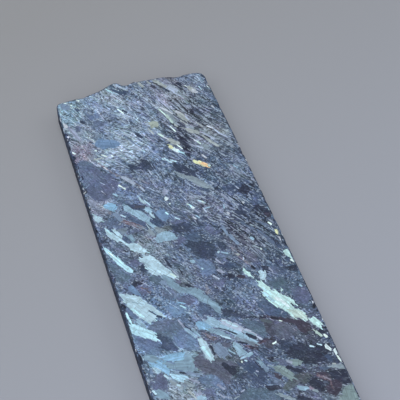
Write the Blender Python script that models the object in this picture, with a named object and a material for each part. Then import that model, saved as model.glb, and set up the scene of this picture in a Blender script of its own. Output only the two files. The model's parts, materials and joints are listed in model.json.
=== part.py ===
"""A nuummite slab: one plate of amphibole rock, sawn along both sides and broken across both ends.

Metres, +Z up. The slab lies on its back with the polished face upward. The origin is in the middle of the
slab, on the plane it lies on. +Y runs along the slab, from its foot to its narrower head.
"""

import math

import bmesh
import bpy
from mathutils import Vector, noise

MM = 0.001

# Driving dimensions, in millimetres
LENGTH = 141.0
WIDTH_AT_FOOT = 52.4
THICKNESS = 7.0
FACE_CHAMFER = 0.35
BACK_CHAMFER = 0.25

# The sawn sides: how far each has come in at the head, and how far both bow out on the way
LEFT_TAPER = 1.4
RIGHT_TAPER = 2.4
SIDE_BOW = 0.35
SIDE_STEPS = 6

# The spacing of the points round the outline, and the levels of the wall between the two chamfers
OUTLINE_STEP = 0.8
WALL_LEVELS = (0.2, 0.4, 0.6, 0.8)

# The sawn walls carry shallow saw marks, and the broken ones stand back in ledges and facets
SAW_MARK_DEPTH = 0.06
SAW_MARK_PITCH = 5.5
SAW_MARK_LEAN = 0.5
TOOTH_DEPTH = 0.16
TOOTH_PITCH = 0.75
LEDGE_DEPTH = 1.0
LEDGE_HEIGHT = 1.7
LEDGE_PITCH = 4.2
FACET_PITCH = 1.9

# Fine chips all along both rims: the noise level above which the rim is chipped, their size and spacing
CHIP_THRESHOLD = 0.16
CHIP_DEPTH = 0.75
CHIP_PITCH = 2.6
CHIP_SLOPE = 0.8
FACE_RIM_SEED = 1.0
BACK_RIM_SEED = 9.0

# The larger chips out of the face's rim: side (-1 left, 1 right), place along the slab, length, depth
RIM_CHIPS = (
    (-1, 54.0, 3.0, 0.9), (-1, 46.0, 1.8, 0.7), (-1, 42.9, 2.2, 0.5), (-1, 38.2, 1.8, 0.6),
    (-1, 33.5, 2.0, 0.6), (-1, 15.1, 1.6, 0.5), (-1, 2.4, 2.2, 0.6), (-1, -6.8, 2.4, 0.9),
    (-1, -23.2, 3.6, 0.6), (1, 61.4, 3.4, 0.6), (1, 50.8, 1.8, 0.6), (1, 32.6, 3.2, 0.5),
    (1, 13.4, 2.0, 0.5), (1, 7.4, 1.8, 0.6), (1, -1.9, 1.8, 0.5), (1, -22.4, 2.6, 0.5),
)

ROCK_COLOUR = (0.105, 0.145, 0.215, 1.0)
ROCK_ROUGHNESS = 0.38

# The broken ends, from left to right: how far across from the middle, and how far the edge stands back
# from the end of the slab
HEAD_BREAK = (
    (-24.8, 4.4), (-24.3, 3.1), (-23.4, 2.7), (-20.3, 2.6), (-18.2, 2.5), (-16.0, 3.1),
    (-13.8, 2.4), (-10.1, 1.85), (-8.4, 1.3), (-6.9, 0.45), (-5.8, 0.15), (-4.0, 0.3),
    (-3.2, 1.2), (-2.4, 2.15), (-0.9, 2.3), (0.4, 1.9), (1.6, 1.5), (2.1, 2.15),
    (2.9, 1.85), (7.1, 2.4), (9.9, 2.55), (12.5, 3.1), (14.4, 4.05), (16.0, 4.15),
    (16.6, 3.85), (20.6, 4.05), (22.6, 4.6), (23.5, 5.3), (23.75, 6.6),
)
FOOT_BREAK = (
    (-26.1, 4.6), (-25.6, 2.7), (-24.3, 1.7), (-21.5, 0.8), (-16.2, 0.4), (-12.8, 0.95),
    (-9.6, 0.55), (-4.1, 0.1), (-1.0, 0.6), (2.2, 0.3), (7.8, 0.8), (10.2, 1.6),
    (13.1, 1.3), (17.4, 1.9), (20.9, 2.6), (23.9, 3.4), (25.4, 4.4), (26.1, 6.2),
)


def side_points(foot_end, head_end, taper):
    """The bends of one sawn side, between the last points of the two broken ends."""
    side = math.copysign(1, foot_end.x)
    points = []
    for k in range(1, SIDE_STEPS):
        t = k / SIDE_STEPS
        y = foot_end.y + (head_end.y - foot_end.y) * t
        along = 0.5 + y / LENGTH
        x = WIDTH_AT_FOOT / 2 - taper * along + SIDE_BOW * math.sin(math.pi * along)
        points.append(Vector((side * x, y)))
    return points


def corner_points():
    """The outline's bends anticlockwise from the foot's left end, each with 1 where it is broken, 0 sawn."""
    foot = [Vector((x, back - LENGTH / 2)) for x, back in FOOT_BREAK]
    head = [Vector((x, LENGTH / 2 - back)) for x, back in HEAD_BREAK]
    right = side_points(foot[-1], head[-1], RIGHT_TAPER)
    left = side_points(foot[0], head[0], LEFT_TAPER)
    broken = [(p, 1.0) for p in foot] + [(p, 0.0) for p in right]
    return broken + [(p, 1.0) for p in reversed(head)] + [(p, 0.0) for p in reversed(left)]


def evenly_spaced(corners):
    """Points about one step apart round the closed outline, each with its share of broken wall."""
    points = []
    for i, (start, kind) in enumerate(corners):
        end, next_kind = corners[(i + 1) % len(corners)]
        count = max(1, round((end - start).length / OUTLINE_STEP))
        for k in range(count):
            t = k / count
            share = kind * next_kind if kind != next_kind else kind
            points.append((start.lerp(end, t), share))
    return points


def eased(points):
    """The same outline with its corners eased."""
    smooth = []
    for i, (p, share) in enumerate(points):
        before, after = points[i - 1][0], points[(i + 1) % len(points)][0]
        smooth.append(((before + 2 * p + after) / 4, share))
    return smooth


def outward(points, i):
    """The outline's outward direction at point i."""
    along = points[(i + 1) % len(points)][0] - points[i - 1][0]
    return Vector((along.y, -along.x)).normalized()


def toothed(points):
    """The outline with the small teeth of the broken ends."""
    teeth = []
    for i, (p, share) in enumerate(points):
        tooth = noise.noise(Vector((p.x / TOOTH_PITCH, p.y / TOOTH_PITCH, 0.0))) * TOOTH_DEPTH * share
        teeth.append((p - outward(points, i) * abs(tooth), share))
    return teeth


def fine_chip(distance, seed):
    """How deep the rim is chipped at a distance round it: nought along most of it."""
    level = noise.noise(Vector((distance / CHIP_PITCH, seed, 0.5)))
    return CHIP_DEPTH * max(0.0, level - CHIP_THRESHOLD) ** 1.5


def large_chip(p):
    """How deep the larger chips cut the face's rim at the outline point p."""
    depth = 0.0
    for side, y, length, most in RIM_CHIPS:
        away = 2 * abs(p.y - y) / length
        if side * p.x > 0 and away < 1:
            depth = max(depth, most * math.sqrt(1 - away ** 2))
    return depth


def wall_relief(distance, height, share):
    """How far the wall stands back from the outline at a distance round it and a height up it."""
    phase = 2 * math.pi * distance / SAW_MARK_PITCH + SAW_MARK_LEAN * height
    marks = SAW_MARK_DEPTH * (1 + math.sin(phase)) / 2
    slope = abs(noise.noise(Vector((distance / LEDGE_PITCH, height / LEDGE_HEIGHT, 8.1))))
    facet = noise.cell(Vector((distance / FACET_PITCH + 0.4 * height, height / LEDGE_HEIGHT, 2.3)))
    ledges = LEDGE_DEPTH * (slope + abs(facet)) / 2
    return marks * (1 - share) + ledges * share


def add_ring(mesh, points, insets, heights):
    """One ring of vertices, each set in from its outline point and at its height."""
    ring = []
    for i, (p, _) in enumerate(points):
        at = p - outward(points, i) * insets[i]
        ring.append(mesh.verts.new((at.x * MM, at.y * MM, heights[i] * MM)))
    return ring


def slab_mesh():
    """The closed slab: a flat back, a wall between two chipped chamfers, and a flat polished face."""
    points = toothed(eased(evenly_spaced(corner_points())))
    distances = [i * OUTLINE_STEP for i in range(len(points))]
    on_outline = [0.0] * len(points)
    back_cut = [BACK_CHAMFER + fine_chip(d, BACK_RIM_SEED) for d in distances]
    face_cut = [
        FACE_CHAMFER + max(fine_chip(d, FACE_RIM_SEED), large_chip(p))
        for d, (p, _) in zip(distances, points)
    ]

    mesh = bmesh.new()
    rings = [add_ring(mesh, points, back_cut, [0.0] * len(points))]
    rings.append(add_ring(mesh, points, on_outline, [CHIP_SLOPE * cut for cut in back_cut]))
    for level in WALL_LEVELS:
        height = level * THICKNESS
        relief = [wall_relief(d, height, share) for d, (_, share) in zip(distances, points)]
        rings.append(add_ring(mesh, points, relief, [height] * len(points)))
    rings.append(add_ring(mesh, points, on_outline, [THICKNESS - CHIP_SLOPE * cut for cut in face_cut]))
    rings.append(add_ring(mesh, points, face_cut, [THICKNESS] * len(points)))

    for lower, upper in zip(rings, rings[1:]):
        for i in range(len(points)):
            j = (i + 1) % len(points)
            mesh.faces.new((lower[i], lower[j], upper[j], upper[i]))
    mesh.faces.new(list(reversed(rings[0])))
    mesh.faces.new(rings[-1])
    bmesh.ops.triangulate(mesh, faces=mesh.faces[:])
    return mesh


def rock_material():
    """The slate-blue of the rock seen from a step away."""
    material = bpy.data.materials.new("rock")
    material.use_nodes = True
    shader = material.node_tree.nodes["Principled BSDF"]
    shader.inputs["Base Color"].default_value = ROCK_COLOUR
    shader.inputs["Roughness"].default_value = ROCK_ROUGHNESS
    shader.inputs["Metallic"].default_value = 0.0
    return material


def build_slab():
    """The one piece of the object, as an object named slab."""
    mesh = slab_mesh()
    data = bpy.data.meshes.new("slab")
    mesh.to_mesh(data)
    mesh.free()
    data.materials.append(rock_material())
    slab = bpy.data.objects.new("slab", data)
    bpy.context.scene.collection.objects.link(slab)


for old in list(bpy.data.objects):
    bpy.data.objects.remove(old)
build_slab()
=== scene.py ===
import json
import math
import random

import bmesh
import bpy
import numpy as np
from mathutils import Matrix, Vector, noise
from mathutils.geometry import delaunay_2d_cdt

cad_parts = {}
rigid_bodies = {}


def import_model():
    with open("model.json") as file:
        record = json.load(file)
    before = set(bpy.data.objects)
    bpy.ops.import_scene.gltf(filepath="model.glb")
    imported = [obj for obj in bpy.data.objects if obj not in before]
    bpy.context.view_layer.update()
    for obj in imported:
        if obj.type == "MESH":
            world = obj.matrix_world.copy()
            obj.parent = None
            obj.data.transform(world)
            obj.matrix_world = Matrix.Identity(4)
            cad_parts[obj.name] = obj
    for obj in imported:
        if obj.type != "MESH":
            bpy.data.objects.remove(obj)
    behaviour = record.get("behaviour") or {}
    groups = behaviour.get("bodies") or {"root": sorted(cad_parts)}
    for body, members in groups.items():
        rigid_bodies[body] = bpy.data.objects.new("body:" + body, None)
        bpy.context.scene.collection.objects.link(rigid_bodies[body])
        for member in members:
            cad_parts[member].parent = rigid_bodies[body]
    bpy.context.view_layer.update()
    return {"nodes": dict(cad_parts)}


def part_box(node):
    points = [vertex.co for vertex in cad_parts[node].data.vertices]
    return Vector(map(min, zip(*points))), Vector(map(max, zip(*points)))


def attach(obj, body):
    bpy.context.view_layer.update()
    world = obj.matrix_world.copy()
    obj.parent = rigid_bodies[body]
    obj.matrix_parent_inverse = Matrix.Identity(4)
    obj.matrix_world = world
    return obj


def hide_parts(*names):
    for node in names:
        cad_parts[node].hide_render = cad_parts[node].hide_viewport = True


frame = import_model()

# Lengths are in millimetres in the slab's frame, with the polished face seen from above
MM = 0.001
CAD_SLAB = frame["nodes"]["slab"]
LOW, HIGH = (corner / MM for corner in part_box("slab"))

# Colours of the rock's crystals in daylight, as 8-bit screen values. The pale ones are partly the laths'
# own colour and partly painted flash, the iridescent reflection of light off them
PALETTE = {
    "ink": (46, 54, 74), "night": (58, 70, 94), "navy": (66, 82, 110), "dusk": (76, 94, 122),
    "umber": (72, 78, 96), "brown": (90, 98, 120), "moss": (82, 94, 104), "plum": (92, 104, 134),
    "deep": (84, 104, 126), "slate": (96, 114, 142), "blue": (100, 122, 156), "azure": (112, 142, 178),
    "grey": (116, 134, 152), "fern": (124, 146, 152), "steel": (120, 142, 170), "teal": (128, 158, 180),
    "rose": (140, 134, 156), "haze": (146, 158, 184), "sage": (138, 156, 170), "sand": (160, 172, 176),
    "olive": (158, 172, 166), "pool": (150, 184, 208), "sky": (136, 180, 214), "pearl": (190, 200, 214),
    "lilac": (168, 184, 208), "ice": (178, 210, 228), "aqua": (182, 226, 244), "mint": (190, 216, 214),
    "frost": (218, 240, 248), "gold": (232, 200, 158), "lemon": (222, 230, 190), "foam": (166, 206, 230),
    "dew": (194, 232, 236), "wine": (64, 62, 80), "rust": (104, 94, 106), "clay": (130, 132, 148),
}

# Where the felt of small grains is bluer, browner, paler or darker: across, along, reach, tint
ZONES = (
    (-22, 63, 5, "teal"), (-14, 62, 7, "steel"), (-2, 60, 9, "steel"), (10, 60, 9, "brown"),
    (19, 63, 4, "slate"), (22, 55, 4, "deep"), (-10, 56, 4, "slate"), (-22, 54, 4, "grey"),
    (0, 51, 7, "steel"), (20, 50, 5, "slate"), (14, 46, 8, "brown"), (22, 42, 5, "grey"),
    (-13, 45, 9, "steel"), (-22, 47, 3, "rose"), (4, 43, 4, "dusk"), (9, 41, 4, "night"),
    (-14, 37, 3, "slate"), (-7, 31, 4, "brown"), (-1, 37, 6, "blue"), (11, 34, 6, "dusk"),
    (19, 37, 5, "night"), (-22, 27, 3, "haze"), (-12, 28, 5, "blue"), (-3, 25, 7, "slate"),
    (14, 27, 7, "dusk"), (20, 19, 6, "navy"), (-20, 20, 3, "slate"), (-15, 19, 3, "plum"),
    (-12, 11, 5, "grey"), (-22, 6, 5, "slate"), (0, 12, 5, "dusk"), (11, 13, 8, "plum"),
    (21, 11, 6, "navy"), (3, 3, 6, "dusk"), (-6, 3, 4, "slate"), (11, 2, 5, "brown"),
    (19, 4, 7, "night"), (-14, -7, 5, "azure"), (-19, -2, 3, "plum"), (-8, -4, 3, "moss"),
    (-1, -5, 5, "plum"), (7, -8, 4, "dusk"), (9, -14, 6, "slate"), (22, -6, 5, "navy"),
    (21, -16, 6, "deep"), (3, -17, 3, "dusk"), (8, -24, 4, "plum"), (14, -28, 6, "brown"),
    (20, -29, 3, "umber"), (-20, -20, 6, "azure"), (-6, -25, 3, "plum"), (-9, -31, 4, "moss"),
    (-3, -33, 4, "moss"), (5, -34, 5, "dusk"), (-16, -27, 5, "teal"), (-17, -36, 3, "sage"),
    (-10, -37, 4, "slate"), (0, -38, 5, "navy"), (8, -40, 5, "dusk"), (14, -35, 4, "dusk"),
    (20, -37, 5, "ink"), (14, -43, 5, "brown"), (21, -45, 4, "umber"), (24, -51, 4, "sage"),
    (-16, -50, 12, "blue"), (2, -56, 12, "slate"), (18, -60, 10, "dusk"),
)
ZONE_BASE = "slate"
ZONE_BASE_WEIGHT = 0.03

# Dark patches of rock that the felt's needles lie over: colour, then the outline's corners
BEDS = (
    ("navy", (-7, 68.2), (-3, 67.5), (-2.3, 66), (-2, 65), (-2.8, 64), (-4, 64.3), (-5.2, 65.6),
     (-6.5, 67)),
    ("blue", (-17, 60.5), (-12.7, 60.2), (-12.9, 58.3), (-16.8, 58.3)),
    ("slate", (-16.4, 57), (-14, 57.6), (-12.3, 57.3), (-12.2, 55.5), (-14, 54.8), (-16, 55.4)),
    ("plum", (-21.9, 57), (-20.6, 57.5), (-19.5, 56.6), (-20, 55.2), (-21.4, 55.2)),
    ("ink", (12, 53), (14, 53.3), (15.8, 52.5), (15.7, 51), (14.3, 50.6), (12.5, 51.2)),
    ("plum", (-24.3, 43.8), (-22, 44), (-20, 42), (-19.3, 40), (-18.5, 38.5), (-16.5, 37), (-15.5, 35.5),
     (-14.5, 33.5), (-15, 32), (-16, 30.5), (-18, 28.8), (-21, 28.3), (-23, 29.5), (-24.2, 32)),
    ("slate", (-24.4, 43.9), (-22, 44), (-20.2, 42.2), (-20.4, 40.4), (-22.6, 40.4), (-24.4, 41.4)),
    ("slate", (-24, 40), (-21.4, 40), (-21, 38.4), (-21.6, 36.4), (-23.8, 36.6)),
    ("night", (-10.8, 38), (-9, 38.4), (-7, 39.2), (-4.6, 39), (-3.6, 37.5), (-2.6, 36), (-2.2, 34.4),
     (-3.6, 34.4), (-5, 34.9), (-6.5, 35.6), (-8, 36), (-9.5, 36), (-10, 37)),
    ("ink", (7.6, 45), (8.4, 45.2), (10, 44.2), (11.6, 42.5), (12, 41), (11, 40), (10, 39),
     (9.8, 36.5), (8.6, 35.5), (7.7, 36), (8, 39), (7.8, 42)),
    ("night", (2.8, 34), (3.5, 34.8), (5, 33.6), (7.5, 31), (8.2, 29.3), (8.6, 27.4), (7.2, 28),
     (5.4, 29.6), (4, 31.2), (2.8, 32.4)),
    ("dusk", (7.8, 23.6), (9, 23.4), (11.2, 22.9), (10.8, 22), (9.5, 21.4), (8, 22)),
    ("navy", (13.6, 22), (16, 21.6), (18.8, 21.9), (20.4, 21.4), (18.8, 20.6), (16.4, 20.2), (14.4, 20.6)),
    ("navy", (-14.7, 25), (-12, 24.5), (-11, 23.6), (-9.5, 22.8), (-10.2, 21.9), (-11.6, 22.2),
     (-13.3, 23)),
    ("dusk", (-15.8, 22), (-14.8, 21.8), (-12, 18.2), (-10.4, 16), (-11, 15), (-12.5, 15.5),
     (-13.5, 17.5), (-15.2, 20)),
    ("navy", (-9.8, 18.4), (-8.4, 18.2), (-7.8, 19.8), (-7.1, 18), (-6.3, 16.2), (-6.5, 14.8), (-7.5, 14),
     (-8.4, 15), (-9.4, 16.8)),
    ("slate", (-23.9, 21.2), (-22.5, 21.8), (-20.8, 21.6), (-19.2, 20), (-18.2, 17.8), (-20, 18.4),
     (-21, 19.5), (-23.2, 20.3)),
    ("dusk", (-19.3, 14.3), (-17.6, 14.6), (-16.8, 12.6), (-17, 12.1), (-18.2, 12.2)),
    ("plum", (-16, 16.2), (-13.6, 16.3), (-13.2, 15), (-15.8, 14.8)),
    ("moss", (-6.8, 14.4), (-5.4, 14.6), (-4.4, 13.6), (-4.6, 12.4), (-6, 12.6)),
    ("plum", (-4.4, 15.6), (-1.4, 15.2), (-0.8, 14.2), (-2.8, 14), (-4.4, 14.6)),
    ("night", (-4.6, 13.6), (-2.6, 14.2), (-0.6, 13.8), (0.6, 13), (1.4, 12.4), (1.5, 11), (0, 11),
     (-1.6, 11), (-3.4, 11.2), (-4.4, 12.2)),
    ("night", (1.2, 14.2), (3, 13.9), (4.4, 12.5), (4.8, 11), (3.4, 11), (1.6, 12)),
    ("plum", (-4.6, 9.4), (-2.6, 9.8), (-1.8, 8.6), (-2.4, 7.6), (-4.2, 7.4)),
    ("dusk", (-1.4, 9.4), (1.6, 9.6), (2.6, 8), (1.6, 6.8), (-0.4, 7.6), (-1.6, 8.4)),
    ("plum", (4.6, 10.6), (6.6, 10.4), (7.2, 8.8), (6, 7.8), (4.8, 8.8)),
    ("ink", (18.2, 19.6), (19.4, 20), (20.2, 21), (21.8, 21), (21.9, 20), (23.9, 20.7), (24, 19.9),
     (22, 18.4), (20.6, 17.2), (19.4, 17.6), (18.6, 18.6)),
    ("ink", (19.6, 10.6), (20.6, 12), (22, 12.9), (23.4, 11.8), (24.2, 10.6), (23.8, 9), (22.4, 9.2),
     (20.6, 9.8)),
    ("wine", (22.4, 9.6), (24.6, 9.4), (24.9, 8), (23, 7.6)),
    ("night", (-2.6, 6.6), (-1.4, 7.6), (1, 6), (3, 5.8), (5.2, 4), (5.6, 2.5), (4.6, 1.6), (3.5, 0.3),
     (1.5, 0.4), (0, 1.6), (-1.2, 3), (-1.6, 5)),
    ("night", (6.6, 4.6), (8, 4), (8.4, 2.8), (8, 1.6), (6.8, 1.6), (6.2, 3)),
    ("slate", (4.6, 1.5), (6, 1.9), (8, 0.8), (8.2, -0.6), (6.2, -0.9), (4.6, 0)),
    ("blue", (-1.4, 1.6), (0.6, 0), (2.2, -0.6), (3.2, -2.4), (2.6, -4.4), (0.4, -5), (-1.2, -4)),
    ("night", (-17.6, 3), (-16.8, 4.3), (-15.7, 4.9), (-15.3, 3.6), (-15.4, 2.1), (-16.5, 2)),
    ("deep", (-25, 8), (-23.4, 6), (-21.6, 3.4), (-20.4, 1.6), (-22.5, 0.6), (-24.6, 1.8), (-25.2, 5)),
    ("plum", (-19.4, 7), (-17.6, 7), (-17, 5.2), (-17.6, 4.2), (-19, 4.4)),
    ("deep", (-16, 0), (-14.5, 0.2), (-13.3, -0.4), (-12, -1.2), (-12.2, -2.6), (-13.3, -3.4),
     (-14.9, -3.2), (-15.6, -1.6)),
    ("ink", (-21.3, -0.6), (-19.5, -0.2), (-17.8, -0.5), (-17.8, -1.6), (-19.5, -1.7), (-20.8, -1.4)),
    ("plum", (-19.6, -2), (-17.4, -2), (-16.4, -3.6), (-17.4, -5), (-19.2, -4.4)),
    ("brown", (-9.4, -2.8), (-8.2, -2.8), (-7.6, -4.4), (-8.6, -5.2), (-9, -4.4)),
    ("slate", (-13.6, -5), (-11.6, -4.6), (-10.6, -6), (-10.4, -7.2), (-9.2, -7.6), (-9.8, -8.6),
     (-12, -8.4), (-13.8, -7)),
    ("plum", (-10.6, -9), (-8.2, -8.6), (-6.4, -10), (-6, -11.4), (-7.6, -12), (-9.4, -10.8)),
    ("azure", (-14.6, -10.2), (-11.8, -10), (-9.6, -11.4), (-9, -12.6), (-11, -13.6), (-13.6, -13.2)),
    ("dusk", (-6.4, -14.6), (-5.8, -13), (-4.8, -12.2), (-3.6, -12.6), (-2.9, -13.6), (-2.6, -15.2),
     (-3.6, -16.4), (-5, -16)),
    ("blue", (-24.8, -16.2), (-20.5, -18.9), (-19.6, -19.8), (-19.4, -21.5), (-20.5, -23.6),
     (-22.5, -23), (-24.6, -20.5)),
    ("slate", (-20.8, -14.5), (-16, -13.8), (-12.2, -14.8), (-12, -16.5), (-12, -18), (-15, -19),
     (-16.5, -19.6), (-18.3, -17.6), (-19.6, -16.2)),
    ("navy", (-19.5, -17.5), (-18.3, -17.8), (-16, -20), (-15.6, -21.5), (-15, -23.5), (-15.5, -23.9),
     (-17, -23.2), (-18.3, -22.8), (-19.5, -21.4), (-18.6, -20.2)),
    ("blue", (-15, -19.6), (-12.2, -18), (-11.8, -19), (-10, -20.4), (-9.5, -22.5), (-9.4, -24.5),
     (-11.5, -25), (-13.5, -24), (-14.9, -22.5), (-15.4, -20.8)),
    ("brown", (-12.3, -27.5), (-11.2, -26.9), (-10, -26.6), (-9.2, -28), (-8.4, -29.4), (-6.6, -29.6),
     (-5.2, -30), (-3, -31), (-2, -32.6), (-2.4, -34.6), (-6, -35.5), (-8.6, -33.6), (-11, -31.8),
     (-12.4, -30)),
    ("plum", (-22.8, -28.6), (-21.2, -28.8), (-20.6, -30.4), (-21.4, -33), (-23.4, -34), (-25, -32.6),
     (-25, -30)),
    ("blue", (-12.6, -33), (-9, -33), (-7.8, -34.2), (-7.2, -36), (-7, -37.4), (-8.4, -38),
     (-9.4, -36.6), (-11, -35.6), (-12.4, -34.6)),
    ("plum", (-13, -36.8), (-11, -36.6), (-9.6, -38), (-9.8, -39.6), (-12, -38.6)),
    ("brown", (-7, -33.4), (-4.6, -33), (-4.4, -35), (-5, -37.4), (-6.4, -37), (-7.2, -35)),
    ("ink", (-4.6, -33), (-2.4, -33), (-2.2, -34.6), (-3.4, -35.4), (-4.4, -34.6)),
    ("night", (-2.6, -35.6), (-1, -35.4), (0.2, -36.2), (-1, -37.4), (-2.2, -37)),
    ("navy", (-1.5, -32.6), (2, -33), (3.2, -34), (4.2, -36), (4.4, -38), (3.4, -40), (1.6, -39.6),
     (-0.4, -37.4), (0.4, -35.4)),
    ("deep", (-4.5, -41.5), (-1.5, -40), (1, -40.6), (3.5, -41.8), (5.5, -43.2), (6.2, -44.6),
     (4, -46.4), (-1, -46), (-4.4, -44)),
    ("navy", (4.8, -3), (6.2, -2.5), (7.6, -3), (8.4, -4.2), (7.6, -5), (6, -4.6), (5, -3.8)),
    ("ink", (5.2, -6.4), (7, -6.2), (7.2, -7.6), (5.6, -7.9)),
    ("plum", (1.2, -6.4), (3, -7), (4.2, -7.6), (3.6, -8.8), (1.6, -8.8), (0.6, -7.6)),
    ("brown", (12.2, -1.4), (14.6, -2), (15.6, -3.6), (14.6, -5), (12.6, -4.6), (11.6, -3)),
    ("ink", (15.4, -6.6), (17, -7), (17.6, -8.8), (16.6, -9.6), (15.6, -8.4)),
    ("plum", (17.6, -7.6), (19.4, -8), (20, -9.6), (18.6, -10.4), (17.4, -9.4)),
    ("ink", (21.8, 1.2), (23.2, 1), (23.4, -0.8), (22.2, -1)),
    ("ink", (22, -9.2), (25.4, -9.4), (25.6, -11.4), (23.4, -11)),
    ("deep", (15.4, -12), (20, -12), (20.2, -14.6), (19.4, -16.6), (18.9, -15.6), (17.6, -15.2),
     (16.6, -14.6)),
    ("plum", (21, -16.4), (24.4, -16.6), (25.2, -18.6), (25, -20.6), (23.4, -22), (21.2, -21),
     (20.7, -19)),
    ("dusk", (9.8, -17), (12.6, -16.8), (14.6, -20), (17.2, -23), (15, -24.2), (12.6, -22.6),
     (10.8, -21.8), (10, -20)),
    ("night", (0, -16.2), (1.4, -16), (2.6, -17.4), (4.4, -18.8), (5.6, -20.4), (4.2, -20),
     (2.2, -18.8), (0.2, -18.2)),
    ("deep", (3.2, -21.2), (5.6, -21), (7.6, -22.6), (9.6, -24), (9.8, -27), (8.2, -27.4),
     (6.6, -25.4), (5, -23.6)),
    ("umber", (9.8, -23.4), (12, -23.6), (12.6, -25.6), (12.2, -28), (10.2, -28.2), (9.6, -26)),
    ("brown", (12.6, -24.9), (15, -25.4), (18, -27.6), (18.2, -28.2), (16.4, -29.4), (14, -30),
     (12.4, -29.2), (12, -27)),
    ("wine", (17.4, -26), (19.6, -26.6), (21, -27.2), (21.8, -28.4), (21.2, -29.8), (19.6, -30),
     (18.4, -29)),
    ("umber", (7.4, -28.6), (9.4, -28.6), (10.6, -29), (9.8, -30.6), (8.8, -31.2), (7.6, -30.6)),
    ("night", (12, -30.2), (14.4, -30.6), (15.2, -32), (14.4, -33.6), (12.4, -33.8), (11.4, -32)),
    ("ink", (14.4, -32.6), (17, -32.4), (18.6, -33.6), (20.4, -35), (22.6, -35.6), (23, -37.4),
     (22, -39), (18.4, -39.2), (16, -38), (14, -36), (12.2, -35), (12.4, -33.6)),
    ("ink", (17, -33), (18.5, -33.1), (18, -34.8), (17, -34.6)),
    ("ink", (6.6, -33.4), (8.4, -33.6), (8.8, -34.8), (7.4, -34.9)),
    ("plum", (8.8, -34.6), (11, -35.4), (12, -36.6), (12.2, -38), (10.8, -37.6), (9.6, -36.4)),
    ("slate", (5.6, -38.6), (7.2, -38.4), (8, -40), (7.6, -41.8), (6, -41.6), (5.6, -40)),
    ("wine", (7, -37.8), (7.8, -38.4), (8.8, -39.8), (8, -40.2), (7, -39.2)),
    ("ink", (3.2, -41), (5, -41), (7, -42.2), (7.4, -43), (5.4, -42.8), (3.6, -42)),
    ("moss", (9.4, -42), (11, -40.8), (13, -40.6), (15.6, -40.8), (16.4, -42.2), (14.6, -43.6),
     (12.2, -42.8), (10.6, -43.6), (8, -43.8), (7.4, -42.8)),
    ("dusk", (19, -40.6), (21, -40.4), (21.8, -41.4), (20.8, -42), (19.2, -41.4)),
    ("navy", (21.8, -37.8), (23, -38), (23.6, -39.6), (22.4, -40.2)),
    ("night", (23.6, -39.2), (24.8, -39.4), (25.2, -41), (24, -41.2)),
    ("ink", (14.8, -43.6), (16.4, -42.8), (17.6, -43.6), (18.4, -45.4), (17.8, -47.2), (16, -46.6),
     (14.8, -45.2)),
    ("wine", (17.6, -41.8), (20.2, -42.2), (21, -43.8), (20.4, -45), (18.8, -44.6), (17.8, -43.4)),
    ("ink", (20.8, -42.4), (23, -42.8), (26, -43.4), (26, -47.4), (23, -47), (21.4, -45)),
    ("wine", (18.8, -46), (22, -45), (23, -46.8), (22, -48.6), (20, -49.4), (18.4, -48)),
    ("ink", (10.2, -46), (11.4, -46.4), (13.6, -48.2), (12, -48.4), (10.2, -47.2)),
)
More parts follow.
